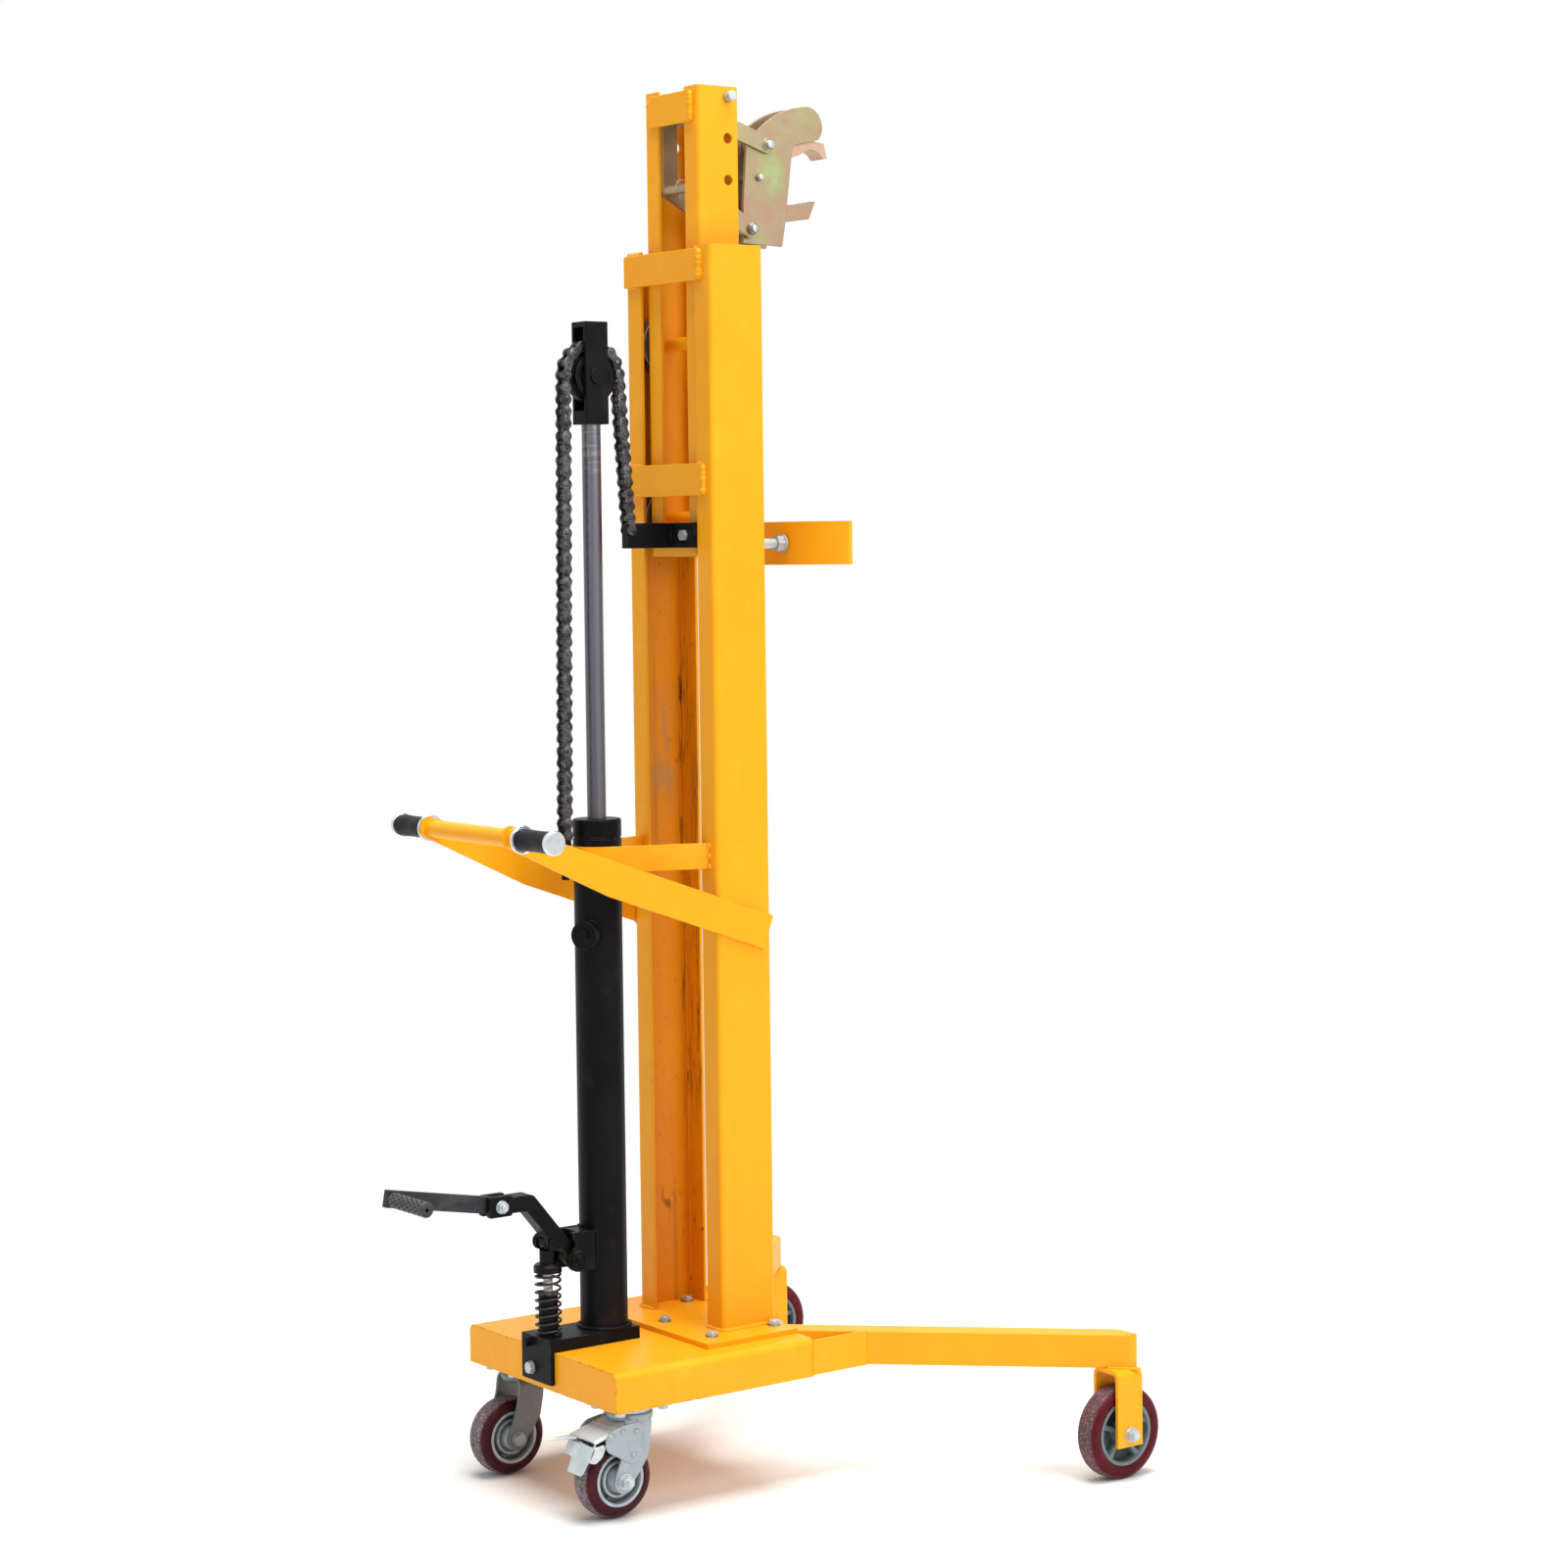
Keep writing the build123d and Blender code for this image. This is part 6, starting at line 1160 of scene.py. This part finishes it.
def casterFork(side, way):
    x0, body = way * fork["swivel"][0], "caster_" + side.lower()
    parts = [yoke(x0), turned(forkHead, drawn((x0, fork["swivel"][1], 0)), "z", 72)]
    axle = drawn((x0, *fork["axle"]))
    out = np.array([fork["face"] * way * mm, 0, 0])
    bolt = [turned(([6.0, 6.0], [-35, 35]), axle, "x", 24)]
    bolt += washerAndHead(fork["washer"], fork["nut"], axle + out, way)
    bolt.append(pinEnd(axleEnd, axle, way))
    bolt += washerAndHead(fork["headWasher"], fork["head"], axle - out, -way)
    makePiece("casterAxle" + side, bolt, brightZinc if way > 0 else dullZinc, body)
    if side == "Right":
        cheek = roundedOutline([(-329, 132), (-317, 147), (-287, 152), (-262, 152), (-262, 94), (-279, 87),
                                (-327, 115)], 8)
        outer = fork["face"] + fork["cheek"]
        for base, turnedTo in ((x0 + fork["face"], 1), (x0 - outer, -1)):
            parts.append(sheetPlate(cheek, fork["cheek"], (base, 0, 0), forward, upright, 0.6))
            x = x0 + turnedTo * outer
            parts.append(rivet((x, *fork["pivot"]), *fork["pivotRivet"], turnedTo))
            parts += [rivet((x, *place), *fork["rivet"], turnedTo) for place in fork["rivets"]]
    makePiece("casterFork" + side, parts, dullZinc if way > 0 else paintedShadeZinc, body,
              ["caster_fork_" + side.lower()], sharp=40)


casterFork("Right", 1)
casterFork("Left", -1)

# Brake on the right caster: a folded tread with a pointed tail, and a stepped release plate hanging below it
brake = {"x": 156.0, "half": 36.0, "sheet": 3.0, "front": (-285.0, 151.5), "rear": (-347.0, 133.0),
         "lean": 28.0, "hang": (-345.0, 128.5), "tailDrop": 2.6, "bead": (1.6, 0.34, 0.045), "ease": 0.6,
         "rivets": ((-333, 121), (-341, 107)), "rivet": (4.0, 2.0)}


def brakeTread():
    # channel section, open below, carried down the slope; its side flanges are deepest at the pivot,
    # and a bead of height * exp(-d * d) is pressed across its top
    share = np.linspace(0, 1, 49)
    height, at, wide = brake["bead"]
    bead = height * np.exp(-((share - at) / wide) ** 2)
    ends = np.array([brake["front"], brake["rear"]])
    path = np.column_stack([np.full(len(share), brake["x"]), ends[0] + share[:, None] * (ends[1] - ends[0])])
    depth = np.interp(share, (0, 0.2, 0.65, 0.8, 1), (9, 21, 22, 11, 9))
    h, t = brake["half"], brake["sheet"]
    fold = [(h - 5, 0), (h - 2.2, -0.8), (h - 0.8, -2.2), (h, -5)]
    bend = [(-a, b) for a, b in fold[::-1]] + fold
    half = [(h - t, -5.4), (h - t - 1.6, -3.4), (h - t - 3, -t)]
    inner = half + [(-a, b) for a, b in half[::-1]]
    flat = np.ones(len(share))
    section = [(-h * flat, -depth)] + [(a * flat, b + bead * (abs(a) < h - 4)) for a, b in bend]
    section += [(h * flat, -depth), ((h - t) * flat, -depth)]
    section += [(a * flat, b + bead * (abs(a) < h - t - 2)) for a, b in inner] + [((-h + t) * flat, -depth)]
    return swept(drawn(path), np.stack([np.stack(pair, -1) for pair in section], 1) * mm)


lean = math.radians(brake["lean"])
down = (0, -math.sin(lean), -math.cos(lean))
sheet, ease, rearY, rearZ = brake["sheet"], brake["ease"], *brake["rear"]
tail = roundedOutline([(-36, -2), (-13, -2), (-16, 5), (-24, 15), (-35, 38), (-36.5, 37)], 3)
plate = roundedOutline([(-36, 5), (36, 5), (36, 26), (33, 30), (31, 48), (27, 52), (-9, 52), (-12, 29),
                        (-36, 27)], 3)
ear = roundedOutline([(-345, 131), (-326, 137), (-325, 122), (-333, 106), (-345, 98), (-358, 102)], 4)
tailPlace = (brake["x"], rearY, rearZ - brake["tailDrop"])
pedalParts = [brakeTread(), sheetPlate(tail, sheet, tailPlace, toRight, (0, -1, -0.02), ease),
              sheetPlate(plate, sheet, (brake["x"], *brake["hang"]), toRight, down, ease)]
for base, way in ((brake["half"] - sheet, 1), (-brake["half"], -1)):
    pedalParts.append(sheetPlate(ear, sheet, (brake["x"] + base, 0, 0), forward, upright, ease))
    x = brake["x"] + way * brake["half"]
    pedalParts += [rivet((x, *place), *brake["rivet"], way) for place in brake["rivets"]]
makePiece("brakePedal", pedalParts, paleZinc, "brake", ["brake_pedal"], sharp=40)
print("casters and gripper done")

# Floor, light and camera
floor = {"size": 80.0, "color": "#F4F4F2", "rough": 0.9, "shine": 0.1, "shadeTo": 1.3, "whiteFrom": 3.2}
mesh = bpy.data.meshes.new("floor")
corners = np.array([(-1, -1, 0), (1, -1, 0), (1, 1, 0), (-1, 1, 0)]) * floor["size"] / 2
mesh.from_pydata(corners, [], [(0, 1, 2, 3)])
floorPiece = bpy.data.objects.new("floor", mesh)
bpy.context.scene.collection.objects.link(floorPiece)
# Pale floor that takes a soft shadow near the wheels and turns to plain white for the eye further out
paper = bpy.data.materials.new("paleFloor")
paper.use_nodes = True
tree = paper.node_tree
shader = tree.nodes["Principled BSDF"]
shader.inputs["Base Color"].default_value = linearColor(floor["color"])
shader.inputs["Roughness"].default_value = floor["rough"]
shader.inputs["Specular IOR Level"].default_value = floor["shine"]
path = addNode(tree, "LightPath").outputs
seen = addNode(tree, "Math", {0: path["Is Camera Ray"], 1: path["Is Glossy Ray"]}, operation="ADD",
               use_clamp=True)
away = addNode(tree, "VectorMath", {0: addNode(tree, "TexCoord").outputs["Object"]}, operation="LENGTH")
far = addNode(tree, "MapRange", {"Value": away.outputs["Value"], "From Min": floor["shadeTo"],
                                 "From Max": floor["whiteFrom"]}, interpolation_type="SMOOTHSTEP")
share = addNode(tree, "Math", {0: seen.outputs[0], 1: far.outputs[0]}, operation="MULTIPLY")
white = addNode(tree, "Emission", {"Strength": 1.0})
mix = addNode(tree, "MixShader", {0: share.outputs[0], 1: shader.outputs[0], 2: white.outputs[0]})
tree.links.new(mix.outputs[0], tree.nodes["Material Output"].inputs["Surface"])
mesh.materials.append(paper)

# White room, and three soft lamps: (watts, place in metres, width in metres)
studio = {"sky": 0.42, "aim": (0, 0, 1.0), "lamps": {"key": (120.0, (4.2, 0.8, 3.6), 3.2),
                                                     "fill": (12.0, (0.6, -4.6, 3.2), 3.4),
                                                     "top": (500.0, (0.6, 0.0, 6.6), 4.0)}}
world = bpy.data.worlds.new("studio")
bpy.context.scene.world = world
world.use_nodes = True
tree = world.node_tree
back = tree.nodes["Background"]
back.inputs["Color"].default_value = (1, 1, 1, 1)
path = addNode(tree, "LightPath").outputs
seen = addNode(tree, "Math", {0: path["Is Camera Ray"], 1: path["Is Glossy Ray"]}, operation="ADD")
seen = addNode(tree, "Math", {0: seen.outputs[0], 1: path["Is Transmission Ray"]}, operation="ADD",
               use_clamp=True)
strength = addNode(tree, "MapRange", {"Value": seen.outputs[0], "To Min": studio["sky"], "To Max": 1.0})
tree.links.new(strength.outputs[0], back.inputs["Strength"])
for name, (watts, place, wide) in studio["lamps"].items():
    lamp = bpy.data.lights.new(name, "AREA")
    lamp.energy, lamp.size = watts, wide
    holder = bpy.data.objects.new(name, lamp)
    bpy.context.scene.collection.objects.link(holder)
    holder.location = place
    holder.rotation_euler = (Vector(studio["aim"]) - Vector(place)).to_track_quat("-Z", "Y").to_euler()

# Camera from the photograph: place in metres, yaw, pitch and roll in degrees, lengths as shares of the frame
view = {"place": (4.4370, -3.0597, 1.5110), "yaw": 54.08, "pitch": -2.823, "roll": -0.711,
        "focal": 3408.44 / 1600, "middle": (777.63 / 1600, 717.09 / 1600), "sensor": 36.0, "reach": 200.0}


def photoCamera():
    # looks along (-sin yaw cos pitch, cos yaw cos pitch, sin pitch), rolled about that line
    yaw, pitch, roll = (math.radians(view[key]) for key in ("yaw", "pitch", "roll"))
    look = np.array([-math.sin(yaw) * math.cos(pitch), math.cos(yaw) * math.cos(pitch), math.sin(pitch)])
    right = np.array([math.cos(yaw), math.sin(yaw), 0])
    up = np.cross(right, look)
    imageRight = math.cos(roll) * right + math.sin(roll) * up
    imageUp = -math.sin(roll) * right + math.cos(roll) * up
    lens = bpy.data.cameras.new("photo")
    lens.sensor_width, lens.sensor_fit = view["sensor"], "HORIZONTAL"
    lens.lens = view["focal"] * view["sensor"]
    lens.shift_x, lens.shift_y = 0.5 - view["middle"][0], view["middle"][1] - 0.5
    lens.clip_end = view["reach"]
    holder = bpy.data.objects.new("photo", lens)
    bpy.context.scene.collection.objects.link(holder)
    turn = np.eye(4)
    turn[:3] = np.stack([imageRight, imageUp, -look, view["place"]], -1)
    holder.matrix_world = Matrix(turn.tolist())
    bpy.context.scene.camera = holder


photoCamera()
bpy.context.scene.view_settings.view_transform = "Standard"
print("stage done")
